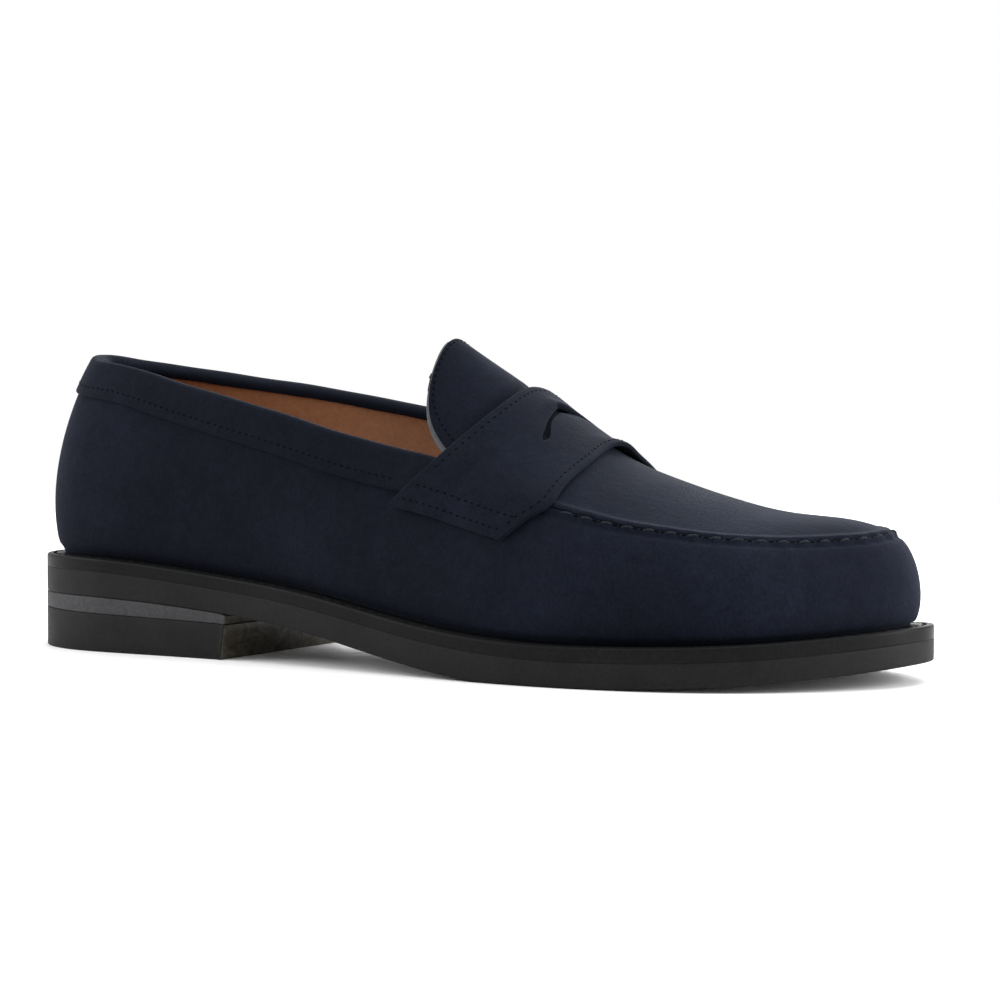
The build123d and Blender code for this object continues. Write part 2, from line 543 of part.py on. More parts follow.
parts["tongue"], parts["tongue_root"] = tongue_ply(0.0, TONGUE_THICKNESS, 0.0)
lining_depth = TONGUE_THICKNESS + PLY
parts["tongue_lining"], parts["tongue_lining_root"] = tongue_ply(lining_depth, TONGUE_LINING, TONGUE_EDGE)


# ---------------------------------------------------------------- collar
def collar_grid():
    """Path folded over the rim at each station: up the outside, over the plies, down the inside."""
    start, end = where_top(COLLAR_END, 1) - 1.0, where_top(COLLAR_END, -1)
    rim = LAYERS + PLY
    grid = []
    for s in np.linspace(start, end, 60):
        t = np.linspace(0.5, 1.0, 101)
        curve = wall(np.full(101, s), t)
        length = np.append(np.cumsum(np.linalg.norm(np.diff(curve, axis=0), axis=1)[::-1])[::-1], 0.0)
        normal = wall_normal(s, 1.0)[0]
        top = curve[-1]
        rise_direction = unit(np.array(curve[-1] - curve[-4]))
        down = np.interp(-np.linspace(COLLAR_DROP, 0.4, 6), -length, t)
        outside = list(wall(np.full(6, s), down) + wall_normal(np.full(6, s), down) * COLLAR_AIR)
        over = [top + normal * (COLLAR_AIR - a * (rim + COLLAR_AIR)) + rise_direction * (COLLAR_RISE * b)
                for a, b in ((0.12, 0.62), (0.5, 1.0), (0.88, 0.62))]
        down = np.interp(-np.linspace(0.4, COLLAR_TURN, 4), -length, t)
        inner = list(wall(np.full(4, s), down) - wall_normal(np.full(4, s), down) * rim)
        grid.append(outside + over + inner)
    return np.array(grid)


collar_path = collar_grid()
middle = np.append(CENTRE, SEAT_HEIGHT + 20)
collar_out = grid_normals(collar_path)
if (collar_out[:, 0] * (collar_path[:, 0] - middle)).sum() < 0:
    collar_out = -collar_out
parts["collar"] = between(collar_path + collar_out * COLLAR_THICKNESS, collar_path)


# ---------------------------------------------------------------- saddle strap with its slot
STRAP_BOTTOM = 0.66          # height up the wall of the strap's lower edge
STRAP_SIDE_REAR = STRAP_REAR - 13.5
STRAP_SIDE_FRONT = STRAP_FRONT - 0.5
STRAP_FOOT_REAR = STRAP_REAR - 25.0
STRAP_FOOT_FRONT = STRAP_FRONT - 13.5
STRAP_ROUND = 3.2            # how squarely the rear edge turns across the ridge
FRONT_BOW = 1.8              # forward bow of the front edge on each flank


def strap_inner_grid(rows=9):
    grid = []
    for a in np.linspace(0.0, 1.0, rows):
        ridge = STRAP_REAR + (STRAP_FRONT - STRAP_REAR) * a
        side = STRAP_SIDE_REAR + (STRAP_SIDE_FRONT - STRAP_SIDE_REAR) * a
        foot = STRAP_FOOT_REAR + (STRAP_FOOT_FRONT - STRAP_FOOT_REAR) * a
        fold = FOLD_RISE * (1 - smoothstep(COLLAR_END + 1, COLLAR_END + 9, side))
        halves = []
        for sign in (-1, 1):
            s_foot, s_side = where_top(foot, sign), where_top(side, sign)
            points = []
            for b in (0.0, 0.35, 0.7, 0.93):
                s, t = s_foot + (s_side - s_foot) * b, STRAP_BOTTOM + (1 - STRAP_BOTTOM) * b
                over = 1 - smoothstep(COLLAR_END + 1, COLLAR_END + 9, top_edge(s)[0, 0])
                lift = STRAP_AIR + (COLLAR_THICKNESS + COLLAR_AIR) * over * (1.0 + 0.6 * b * b)
                points.append(wall(s, t)[0] + wall_normal(s, t)[0] * lift)
            side_y = float(top_edge(s_side)[0, 1] - middle_y(side))
            for b in (0.12, 0.4, 0.7):
                x = side + (ridge - side) * (1 - (1 - b) ** STRAP_ROUND)
                x += FRONT_BOW * a * float(np.sin(np.pi * b))
                y = float(middle_y(x)) + side_y * (1 - b)
                lift = STRAP_AIR + 0.25 + fold * (1 - b) ** 1.5
                slope_x = float(dorsal(x + 0.5, y) - dorsal(x - 0.5, y))
                slope_y = float(dorsal(x, y + 0.5) - dorsal(x, y - 0.5))
                up = unit(np.array([-slope_x, -slope_y, 1.0]))
                points.append(np.array([x, y, float(dorsal(x, y))]) + up * lift)
            halves.append(points)
        top = np.array([ridge, float(middle_y(ridge)), float(dorsal(ridge, middle_y(ridge))) + STRAP_AIR + 0.2])
        path = np.array(halves[0] + [top] + halves[1][::-1])
        walk = np.append(0.0, np.cumsum(np.linalg.norm(np.diff(path, axis=0), axis=1)))
        smooth = [line(walk, path[:, axis]) for axis in range(3)]
        even = np.linspace(0.0, walk[-1], 25)
        grid.append(np.stack([curve(even) for curve in smooth], -1))
    return np.array(grid)


def slot_plan():
    """Penny slot in plan: a narrow bowed slit with a rounded lobe at each end."""
    ridge = STRAP_REAR + SLOT_PLACE
    mid = float(middle_y(ridge))
    rear_edge, front_edge = SLOT_REAR, SLOT_FRONT
    right = [Vector(ridge + x, mid + y, 0) for x, y in rear_edge]
    left = [Vector(ridge + x, mid - y, 0) for x, y in rear_edge[:0:-1]]
    back = Edge.make_spline([*left, *right])
    near = [Vector(ridge + x, mid + y, 0) for x, y in front_edge[::-1]]
    far = [Vector(ridge + x, mid - y, 0) for x, y in front_edge[1:]]
    fore = Edge.make_spline([*near, *far])
    tip_one = Edge.make_three_point_arc(back @ 1, Vector(ridge + SLOT_TIP[0], mid + SLOT_TIP[1], 0), fore @ 0)
    tip_two = Edge.make_three_point_arc(fore @ 1, Vector(ridge + SLOT_TIP[0], mid - SLOT_TIP[1], 0), back @ 0)
    return Face(Wire([back, tip_one, fore, tip_two]))


strap_inner = strap_inner_grid()
strap_up = facing(strap_inner, (0, 0, 1))
strap = between(strap_inner + strap_up * STRAP_THICKNESS, strap_inner)
parts["strap"] = largest(strap - column(slot_plan(), SEAT_HEIGHT))


# ---------------------------------------------------------------- threads
def ribbon(points, normals, width=THREAD, height=0.45):
    """Thin raised thread that follows points lying on a surface."""
    points, normals = np.array(points), unit(np.array(normals))
    across = unit(np.cross(np.gradient(points, axis=0), normals)) * width / 2
    base = np.stack([points - across, points + across], 1) + normals[:, None] * THREAD_LIFT
    return between(spread(base) + normals[:, None] * height, spread(base))


def spread(base):
    """Four evenly spaced points across from the two edges."""
    return np.stack([base[:, 0] + (base[:, 1] - base[:, 0]) * f for f in (0, 1 / 3, 2 / 3, 1)], 1)


collar_shell = collar_path + collar_out * COLLAR_THICKNESS
clear_rows = collar_path[:, 5, 0] < STRAP_FOOT_REAR - 3.0
collar_row = collar_shell[clear_rows, 1] * 0.6 + collar_shell[clear_rows, 2] * 0.4
parts["collar_thread"] = ribbon(collar_row, collar_out[clear_rows, 1])


def apron_stitches():
    """Hand-sewn stitches laid across the seam between the apron and the wall."""
    start, end = where_top(STRAP_FRONT + 3, -1), where_top(STRAP_FRONT + 3, 1)
    s_values = np.linspace(start, end, 400)
    seam = top_edge(s_values)
    walk = np.append(0.0, np.cumsum(np.linalg.norm(np.diff(seam, axis=0), axis=1)))
    count = int(walk[-1] / STITCH_PITCH)
    stitches = []
    for i in range(count):
        s = float(np.interp((i + 0.5) * walk[-1] / count, walk, s_values))
        here, along = top_edge(s)[0], unit(top_edge(s + 2e-3)[0] - top_edge(s - 2e-3)[0])
        out = unit(wall_normal(s, 1.0)[0] + np.array([0, 0, 1.0]))
        plane = Plane(origin=tuple(here + out * 1.1), x_dir=tuple(along), z_dir=tuple(out))
        stitches.append(plane * Box(0.7 * STITCH_PITCH, THREAD, THREAD))
    return Compound(children=stitches)


parts["apron_thread"] = apron_stitches()


def strap_edge_thread():
    rows = [strap_inner[1, 2:-2], strap_inner[-2, 2:-2]]
    ups = [strap_up[1, 2:-2], strap_up[-2, 2:-2]]
    return Compound(children=[ribbon(row + up * STRAP_THICKNESS, up) for row, up in zip(rows, ups)])


parts["strap_thread"] = strap_edge_thread()


def tongue_thread():
    """Stitch row that follows the tongue's free edge."""
    tip, mid = TONGUE_TIP * SOLE_LENGTH, float(middle_y(TONGUE_TIP * SOLE_LENGTH + 10))
    plan = [(tip + ahead + 2.0, mid - half * 0.90) for ahead, half in TONGUE_EDGE_SHAPE[-2:0:-1]]
    plan += [(tip + 2.0, mid)]
    plan += [(x, 2 * mid - y) for x, y in plan[-2::-1]]
    walk = np.append(0.0, np.cumsum(np.linalg.norm(np.diff(np.array(plan), axis=0), axis=1)))
    even = np.linspace(0, walk[-1], 31)
    xs, ys = line(walk, [p[0] for p in plan])(even), line(walk, [p[1] for p in plan])(even)
    points = [(x, y, float(tongue_height(x, y))) for x, y in zip(xs, ys)]
    normals = [(-(float(tongue_height(x + .5, y) - tongue_height(x - .5, y))),
                -(float(tongue_height(x, y + .5) - tongue_height(x, y - .5))), 1.0) for x, y in zip(xs, ys)]
    return ribbon(points, normals)


parts["tongue_thread"] = tongue_thread()


def welt_thread():
    """Stitch row in the top of the welt, all the way round."""
    s_values = np.linspace(0.0, 1.0, 121)
    plan = inset_outline(2.4, s_values)
    points = np.c_[plan, welt_top(plan[:, 0])]
    return ribbon(points, np.tile([0.0, 0.0, 1.0], (121, 1)), height=0.4)


parts["welt_thread"] = welt_thread()

back_t = np.linspace(0.03, 0.80, 24)
parts["back_seam_thread"] = ribbon(wall(np.zeros(24), back_t), wall_normal(np.zeros(24), back_t))

# ---------------------------------------------------------------- files
os.makedirs("parts", exist_ok=True)
to_origin = Location((-CENTRE[0], -CENTRE[1], 0))
for name, shape in parts.items():
    pieces = [solid.moved(to_origin) for solid in solids_of(shape)]
    export_step(pieces[0] if len(pieces) == 1 else Compound(pieces), f"parts/{name}.step")
print("centre", CENTRE, "hinge", HINGE)
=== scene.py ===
import math

import bmesh
import bpy
import numpy as np
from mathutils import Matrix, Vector


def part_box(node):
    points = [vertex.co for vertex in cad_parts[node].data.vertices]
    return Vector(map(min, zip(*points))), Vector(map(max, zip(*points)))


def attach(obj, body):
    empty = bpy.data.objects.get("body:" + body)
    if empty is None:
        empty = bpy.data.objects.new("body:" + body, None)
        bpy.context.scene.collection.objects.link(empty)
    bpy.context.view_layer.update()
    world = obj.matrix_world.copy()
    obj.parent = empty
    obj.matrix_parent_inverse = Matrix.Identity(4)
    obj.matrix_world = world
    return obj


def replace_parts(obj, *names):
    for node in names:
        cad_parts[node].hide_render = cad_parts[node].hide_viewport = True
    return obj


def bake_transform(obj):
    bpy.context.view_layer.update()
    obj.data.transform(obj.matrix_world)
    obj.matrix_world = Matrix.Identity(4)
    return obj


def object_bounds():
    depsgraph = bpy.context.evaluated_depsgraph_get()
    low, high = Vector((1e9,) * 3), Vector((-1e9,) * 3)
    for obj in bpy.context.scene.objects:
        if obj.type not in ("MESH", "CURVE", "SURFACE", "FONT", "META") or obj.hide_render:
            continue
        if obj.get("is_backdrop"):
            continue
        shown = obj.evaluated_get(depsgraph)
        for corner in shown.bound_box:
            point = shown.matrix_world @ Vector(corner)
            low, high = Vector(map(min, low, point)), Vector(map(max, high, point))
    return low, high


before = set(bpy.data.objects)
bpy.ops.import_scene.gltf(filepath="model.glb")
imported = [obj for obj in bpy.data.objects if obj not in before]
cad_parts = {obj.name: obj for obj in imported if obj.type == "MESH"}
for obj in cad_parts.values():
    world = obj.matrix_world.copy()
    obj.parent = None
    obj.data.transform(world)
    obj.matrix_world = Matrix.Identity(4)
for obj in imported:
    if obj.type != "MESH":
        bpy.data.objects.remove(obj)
CAD_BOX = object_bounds()

# A right-foot penny loafer in navy suede. Shapes are worked out in millimetres in the drawing frame of the
# CAD source (x from the back of the heel to the toe) and moved to the row frame, in metres, by put().
LOW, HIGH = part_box("outsole")
SOLE_LENGTH = (HIGH.x - LOW.x) * 1000.0
FOREPART_WIDTH = 105.0
HEEL_WIDTH = 68.5
SEAT_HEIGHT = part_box("welt")[1].z * 1000.0
HEEL_LENGTH = 93.5
BREAST_RAKE = 4.6
HEEL_LIFT = 13.0
HEEL_LIFT_BREAST = 11.0
WELT_THICKNESS = 4.2
WELT_WIDTH = 12.0
BACK_HEIGHT = 64.2
WALL_THICKNESS = 1.6
STIFFENER_THICKNESS = 0.9
LINING_THICKNESS = 1.0
COLLAR_THICKNESS = 0.9
COLLAR_DROP = 11.5
COLLAR_TURN = 1.6
TONGUE_THICKNESS = 1.4
TONGUE_LINING = 0.8
TONGUE_EDGE = 0.8
STRAP_THICKNESS = 1.5
STRAP_REAR = 176.6
STRAP_FRONT = 206.8
APRON_REAR = STRAP_REAR + 5.0
APRON_REAR_SIDE = STRAP_REAR - 5.5
COLLAR_END = STRAP_REAR - 9.0
PLY = 0.15
SEAM_GAP = 0.2
STRAP_AIR = 0.35
COLLAR_AIR = 0.25
FOLD_RISE = 0.8
STITCH_PITCH = 6.0           # hand-sewn apron seam
STRAP_PITCH = 2.6            # machine-sewn rows
ROW_SINK = -0.05             # machine stitches lie this far into the suede
DEPTH_LINING = WALL_THICKNESS + STIFFENER_THICKNESS + 2 * PLY
LAYERS = DEPTH_LINING + LINING_THICKNESS

# ---------------------------------------------------------------- curves
# Sole outline: part of the length, and part of the half width there, from the heel round the outer side.
SOLE = [(0.000, 0.03), (0.023, -0.61), (0.077, -0.94), (0.167, -1.04), (0.260, -1.06), (0.367, -1.01),
        (0.473, -0.94), (0.583, -0.96), (0.683, -1.015), (0.783, -0.967), (0.873, -0.789), (0.943, -0.488),
        (0.993, -0.075), (1.000, 0.188), (0.963, 0.582), (0.887, 0.845), (0.793, 0.958), (0.707, 0.986),
        (0.617, 0.90), (0.507, 0.745), (0.400, 0.716), (0.300, 0.853), (0.200, 0.957), (0.093, 0.928),
        (0.027, 0.61)]

# The wall's top edge: along the topline at the rear, along the apron seam at the front.
# Part of the sole's length, part of the half width there, height above the seat.
TOP = [(0.046, 0.01, 64.2), (0.060, -0.28, 63.2), (0.088, -0.51, 61.5), (0.137, -0.65, 59.7),
       (0.180, -0.72, 56.8), (0.233, -0.78, 52.9), (0.293, -0.81, 48.7), (0.360, -0.77, 43.8),
       (0.420, -0.73, 39.2), (0.477, -0.67, 35.3), (0.543, -0.64, 31.3), (0.610, -0.70, 25.5),
       (0.677, -0.766, 19.9), (0.716, -0.766, 17.3), (0.752, -0.745, 15.0), (0.793, -0.701, 13.3),
       (0.832, -0.627, 11.8), (0.869, -0.516, 10.8), (0.901, -0.375, 10.3), (0.931, -0.192, 10.5),
       (0.950, -0.027, 11.0), (0.957, 0.152, 11.7), (0.952, 0.324, 11.9), (0.933, 0.486, 11.9),
       (0.900, 0.629, 11.9), (0.853, 0.720, 12.5), (0.800, 0.766, 14.1), (0.740, 0.773, 17.1),
       (0.677, 0.743, 22.1), (0.610, 0.686, 29.5), (0.533, 0.635, 37.9), (0.477, 0.665, 42.1),
       (0.407, 0.725, 46.7), (0.353, 0.775, 49.5), (0.293, 0.81, 52.6), (0.227, 0.785, 55.4),
       (0.170, 0.72, 57.8), (0.128, 0.65, 59.7), (0.087, 0.52, 61.5), (0.060, 0.30, 63.2)]

# The wall's bulge, by place round the sole: feather inset, then how far each end's handle goes out and up.
BULGE = [(0.00, 4.9, 5.9, 18.0, 11.2, 19.0), (0.14, 5.2, 4.0, 15.0, 6.0, 17.0),
         (0.24, 5.6, 4.5, 13.0, 5.0, 14.0), (0.34, 5.8, 5.0, 10.0, 7.0, 9.0), (0.42, 5.9, 4.8, 7.0, 8.5, 5.0),
         (0.504, 6.0, 4.5, 5.0, 8.0, 3.5), (0.58, 5.9, 4.8, 7.0, 8.5, 5.0), (0.67, 5.6, 5.0, 10.0, 7.0, 9.0),
         (0.77, 4.6, 7.0, 13.0, 5.0, 14.0), (0.86, 5.0, 5.0, 15.0, 6.0, 17.0)]

# Side curves: part of the sole's length, height.
WELT_TOP = [(0.0, 0.0), (0.133, -0.5), (0.267, -3.7), (0.4, -8.1), (0.533, -14.5), (0.667, -18.3), (0.8, -18.2),
            (0.9, -16.7), (1.0, -13.5)]
RIDGE = [(0.500, 69.1), (0.587, 52.5), (0.667, 35.7), (0.740, 26.3), (0.817, 19.3), (0.887, 16.3),
         (0.933, 14.2)]
TREAD_START = 0.617          # flat stretch of the outsole under the ball, parts of the length
TREAD_END = 0.740
TOE_SPRING = 6.1

# Plan shape of the tongue's free edge: distance in front of its tip, half width.
TONGUE_TIP = 0.502
TONGUE_EDGE_SHAPE = [(0.0, 12.8), (0.35, 15.2), (1.2, 18.2), (3.2, 20.9), (6.5, 22.9), (11.0, 24.8),
                     (20.0, 27.0)]
TONGUE_INSET = 5.6           # tongue's sides lie this far inside the wall's top edge
TONGUE_DIP = 1.35 * (WALL_THICKNESS + 2 * PLY)   # the tongue's drop to pass under the apron


def smoothstep(low, high, x):
    t = np.clip((np.asarray(x, float) - low) / (high - low), 0.0, 1.0)
    return t * t * (3.0 - 2.0 * t)


def half_width(fraction):
    return (HEEL_WIDTH + (FOREPART_WIDTH - HEEL_WIDTH) * smoothstep(0.26, 0.60, fraction)) / 2.0


def ring(knots, values):
    """Smooth closed curve through the values; its parameter runs 0 to 1 once round."""
    values = np.array(values, float)
    count = len(values)
    knots = np.append(knots, knots[0] + 1.0)
    step = np.diff(knots)
    matrix, right = np.zeros((count, count)), np.zeros_like(values)
    for i in range(count):
        after = (i + 1) % count
        matrix[i, i - 1] += step[i - 1]
        matrix[i, i] += 2.0 * (step[i - 1] + step[i])
        matrix[i, after] += step[i]
        right[i] = 6.0 * ((values[after] - values[i]) / step[i] - (values[i] - values[i - 1]) / step[i - 1])
    bend = np.linalg.solve(matrix, right)

    def at(s):
        s = (np.atleast_1d(np.asarray(s, float)) - knots[0]) % 1.0 + knots[0]
        i = np.clip(np.searchsorted(knots, s, side="right") - 1, 0, count - 1)
        j = (i + 1) % count
        b = ((s - knots[i]) / step[i])[:, None]
        a = 1.0 - b
        curved = ((a**3 - a) * bend[i] + (b**3 - b) * bend[j]) * (step[i] ** 2 / 6.0)[:, None]
        return a * values[i] + b * values[j] + curved

    return at


def line(xs, zs):
    """Smooth open curve z(x) through the points, straight on past its ends."""
    xs, zs = np.array(xs, float), np.array(zs, float)
    count, step = len(xs), np.diff(xs)
    matrix, right = np.eye(count), np.zeros(count)
    for i in range(1, count - 1):
        matrix[i, i - 1 : i + 2] = step[i - 1], 2.0 * (step[i - 1] + step[i]), step[i]
        right[i] = 6.0 * ((zs[i + 1] - zs[i]) / step[i] - (zs[i] - zs[i - 1]) / step[i - 1])
    bend = np.linalg.solve(matrix, right)
    slope_in = (zs[1] - zs[0]) / step[0] - bend[1] * step[0] / 6.0
    slope_out = (zs[-1] - zs[-2]) / step[-1] + bend[-2] * step[-1] / 6.0

    def at(x):
        x = np.asarray(x, float)
        inside = np.clip(x, xs[0], xs[-1])
        i = np.clip(np.searchsorted(xs, inside, side="right") - 1, 0, count - 2)
        b = (inside - xs[i]) / step[i]
        a = 1.0 - b
        z = a * zs[i] + b * zs[i + 1] + ((a**3 - a) * bend[i] + (b**3 - b) * bend[i + 1]) * step[i] ** 2 / 6.0
        return z + np.minimum(x - xs[0], 0.0) * slope_in + np.maximum(x - xs[-1], 0.0) * slope_out

    return at


# ---------------------------------------------------------------- the last's surfaces
corners = np.array([(f * SOLE_LENGTH, w * half_width(f)) for f, w in SOLE])
chord = np.linalg.norm(np.roll(corners, -1, 0) - corners, axis=1)
outline = ring(np.append(0.0, np.cumsum(chord)[:-1]) / chord.sum(), corners)
FINE = np.linspace(0.0, 1.0, 4001)[:-1]
FINE_OUTLINE = outline(FINE)
CENTRE = (FINE_OUTLINE.min(0) + FINE_OUTLINE.max(0)) / 2.0


def outward(s):
    """Unit normal of the outline in plan, pointing out of the sole."""
    s = np.atleast_1d(np.asarray(s, float))
    along = outline(s + 1e-4) - outline(s - 1e-4)
    normal = np.c_[along[:, 1], -along[:, 0]]
    return -normal / np.linalg.norm(normal, axis=1)[:, None] * TURN


TURN = 1.0                   # sense of the outline
TURN = -1.0 if outward(0.0)[0, 0] > 0.0 else 1.0


def inset_outline(distance, s):
    return outline(s) - outward(s) * np.asarray(distance, float).reshape(-1, 1)


def place_on_outline(points):
    """Parameter of the outline nearest to each point."""
    return np.array([FINE[np.argmin(((FINE_OUTLINE - p[:2]) ** 2).sum(1))] for p in points])


welt_top = line([f * SOLE_LENGTH for f, _ in WELT_TOP], [SEAT_HEIGHT + z for _, z in WELT_TOP])
rise = BACK_HEIGHT / TOP[0][2]
top_points = np.array([(f * SOLE_LENGTH, w * half_width(f), SEAT_HEIGHT + z * rise) for f, w, z in TOP])
top_knots = place_on_outline(top_points)
top_knots[0] = 0.0
top_order = np.argsort(top_knots)
top_edge = ring(top_knots[top_order], top_points[top_order])
bulge = ring([row[0] for row in BULGE], [row[1:] for row in BULGE])


def wall(s, t):
    """Outer face of the wall: t is 0 at the feather line and 1 at the top edge."""
    s = np.atleast_1d(np.asarray(s, float))
    t = np.broadcast_to(np.asarray(t, float), s.shape)[:, None]
    shape = bulge(s)
    out, up = np.c_[outward(s), np.zeros(len(s))], np.array([0.0, 0.0, 1.0])
    foot = inset_outline(shape[:, 0], s)
    foot = np.c_[foot, welt_top(foot[:, 0]) + PLY]
    top = top_edge(s)
    low = foot + out * shape[:, 1:2] + up * shape[:, 2:3]
    high = top + out * shape[:, 3:4] - up * shape[:, 4:5] * rise
    return (1 - t) ** 3 * foot + 3 * t * (1 - t) ** 2 * low + 3 * t * t * (1 - t) * high + t**3 * top


def wall_normal(s, t):
    """Unit normal of the wall's outer face, pointing out of the shoe."""
    s = np.atleast_1d(np.asarray(s, float))
    t = np.broadcast_to(np.asarray(t, float), s.shape)
    along = wall(s + 1e-3, t) - wall(s - 1e-3, t)
    up = wall(s, np.minimum(t + 1e-3, 1.0)) - wall(s, np.minimum(t + 1e-3, 1.0) - 2e-3)
    normal = np.cross(along, up)
    normal /= np.linalg.norm(normal, axis=1)[:, None]
    side = np.sign((normal[:, :2] * outward(s)).sum(1))
    return normal * side[:, None]


def wall_row(s, t_values):
    """Points up the wall at one place round the sole, and their normals."""
    row = np.full(len(t_values), s)
    return wall(row, t_values), wall_normal(row, t_values)


# The back of the foot to the toe over the instep: a height over the plan, between the two top edges.
toe_s = FINE[np.argmax(top_edge(FINE)[:, 0])]
outer_top = top_edge(np.linspace(0.18, toe_s, 400))
inner_top = top_edge(np.linspace(toe_s, 0.85, 400))[::-1]
TOE_END = outer_top[:, 0].max() - 0.6
ACROSS_X = np.linspace(0.47 * SOLE_LENGTH, TOE_END, 140)


def edge_at(edge, column):
    order = np.argsort(edge[:, 0])
    return np.interp(ACROSS_X, edge[order, 0], edge[order, column])


edge_outer, edge_inner = edge_at(outer_top, 1), edge_at(inner_top, 1)
edge_outer_z, edge_inner_z = edge_at(outer_top, 2), edge_at(inner_top, 2)


def along_shoe(values):
    values = np.array(values)
    slope = (values[-1] - values[-6]) / (ACROSS_X[-1] - ACROSS_X[-6])
    return lambda x: np.interp(x, ACROSS_X, values) + np.maximum(np.asarray(x) - ACROSS_X[-1], 0.0) * slope


half_gap_squared = along_shoe(((edge_inner - edge_outer) / 2.0) ** 2)
middle_y = along_shoe((edge_inner + edge_outer) / 2.0)
middle_z = along_shoe((edge_inner_z + edge_outer_z) / 2.0)
tilt = along_shoe((edge_inner_z - edge_outer_z) / (edge_inner - edge_outer))
ridge_x = np.array([f * SOLE_LENGTH for f, _ in RIDGE])
ridge_z = np.array([SEAT_HEIGHT + z * rise for _, z in RIDGE])
crown = line(ridge_x, (ridge_z - middle_z(ridge_x)) / half_gap_squared(ridge_x))


def dorsal(x, y):
    """Height of the apron's outer face, and of the tongue's behind it, over the plan."""
    x, y = np.asarray(x, float), np.asarray(y, float)
    off = y - middle_y(x)
    return middle_z(x) + tilt(x) * off + crown(np.minimum(x, ridge_x[-1])) * (half_gap_squared(x) - off**2)


def tongue_height(x, y):
    """The tongue is narrower than the gap between the walls, and dips under the apron's rear edge."""
    wide = np.sqrt(np.maximum(half_gap_squared(x), 1.0))
    off = (y - middle_y(x)) * wide / (wide - TONGUE_INSET)
    apron_edge = APRON_REAR - (APRON_REAR - APRON_REAR_SIDE) * np.minimum(np.abs(off) / wide, 1.0) ** 2
    dip = TONGUE_DIP * smoothstep(-10.0, -0.5, x - apron_edge)
    return dorsal(x, middle_y(x) + off) - dip


# ---------------------------------------------------------------- mesh helpers
def unit(v):
    return v / np.maximum(np.linalg.norm(v, axis=-1, keepdims=True), 1e-9)


def put(points):
    """Drawing frame in millimetres to the row frame in metres."""
    points = np.array(points, float).reshape(-1, 3)
    return (points - np.array([*CENTRE, 0.0])) / 1000.0


def mesh_object(name, points, faces, body, material, slot=None):
    mesh = bpy.data.meshes.new(name)
    mesh.from_pydata(put(points).tolist(), [], [tuple(int(i) for i in f) for f in faces])
    mesh.update()
    thing = bpy.data.objects.new(name, mesh)
    bpy.context.scene.collection.objects.link(thing)
    work = bmesh.new()
    work.from_mesh(mesh)
    bmesh.ops.remove_doubles(work, verts=work.verts, dist=2e-6)
    bmesh.ops.recalc_face_normals(work, faces=work.faces)
    work.to_mesh(mesh)
    work.free()
    for polygon in mesh.polygons:
        polygon.use_smooth = True
    mesh.materials.append(material)
    if body:
        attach(thing, body)
    return thing


def piece(name, node, points, faces, material, slot):
    """A visible piece that rides on the shoe in place of a CAD node."""
    thing = mesh_object(name, points, faces, "shoe", material, slot)
    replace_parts(thing, node)
    return thing


def grid_faces(rows, columns, start=0, turn=False):
    faces = []
    for i in range(rows - 1):
        for j in range(columns - 1):
            a = start + i * columns + j
            quad = (a, a + 1, a + columns + 1, a + columns)
            faces.append(quad[::-1] if turn else quad)
    return faces


def grid_normals(grid):
    return unit(np.cross(np.gradient(grid, axis=0), np.gradient(grid, axis=1)))


def upward_normals(grid):
    normals = grid_normals(grid)
    return -normals if normals[..., 2].sum() < 0 else normals


def resample(grid, values, radius, low, high):
    """Rows of a grid re-spaced so that each round edge has its own close rings of points. Gives the new
    grid, the new normals and how far round the edge each row is (1 in the middle of the sheet)."""
    turns = np.sin(np.linspace(0.0, math.pi / 2, 5))
    steps = radius * (1.0 - np.cos(np.linspace(0.0, math.pi / 2, 5)))
    length = np.append(0.0, np.cumsum(np.linalg.norm(np.diff(grid, axis=0), axis=2).mean(1)))
    inner = length[(length > 1.8 * radius * low) & (length < length[-1] - 1.8 * radius * high)]
    if not low and inner[0] > 0:
        inner = np.append(0.0, inner)
    if not high and inner[-1] < length[-1]:
        inner = np.append(inner, length[-1])
    places, ease = [inner], [np.ones(len(inner))]
    if low:
        places.insert(0, steps)
        ease.insert(0, turns)
    if high:
        places.append(length[-1] - steps[::-1])
        ease.append(turns[::-1])
    places, ease = np.concatenate(places), np.concatenate(ease)
    at = np.interp(places, length, np.arange(len(length)))
    i = np.clip(at.astype(int), 0, len(length) - 2)
    mix = (at - i)[:, None, None]
    return grid[i] * (1 - mix) + grid[i + 1] * mix, values[i] * (1 - mix) + values[i + 1] * mix, ease


def sheet(outer, thickness, side, ends=(True, True), edges=(True, True)):
    """Closed leather sheet under an outer grid, with rounded cut edges: points and faces."""
    normals = grid_normals(outer)
    if (normals * side).sum() < 0:
        normals = -normals
    radius = thickness / 2
    grid, normals, ease_u = resample(outer, normals, radius, *ends)
    grid, normals, ease_v = resample(grid.swapaxes(0, 1), normals.swapaxes(0, 1), radius, *edges)
    grid, normals = grid.swapaxes(0, 1), unit(normals.swapaxes(0, 1))
    depth = radius * (1 - ease_u[:, None] * ease_v[None, :])[..., None]
    top, under = grid - normals * depth, grid - normals * (thickness - depth)
    return close_pair(top, under)


def close_pair(top, under):
    rows, columns = top.shape[:2]
    count = rows * columns
    points = np.concatenate([top.reshape(-1, 3), under.reshape(-1, 3)])
    faces = grid_faces(rows, columns) + grid_faces(rows, columns, count, True)
    border = list(range(columns)) + [i * columns + columns - 1 for i in range(1, rows)]
    border += [(rows - 1) * columns + j for j in range(columns - 2, -1, -1)]
    border += [i * columns for i in range(rows - 2, 0, -1)]
    gap = np.linalg.norm((top - under).reshape(-1, 3), axis=1)
    for a, b in zip(border, border[1:] + border[:1]):
        if max(gap[a], gap[b]) > 1e-4:
            faces.append((b, a, a + count, b + count))
    return points, faces


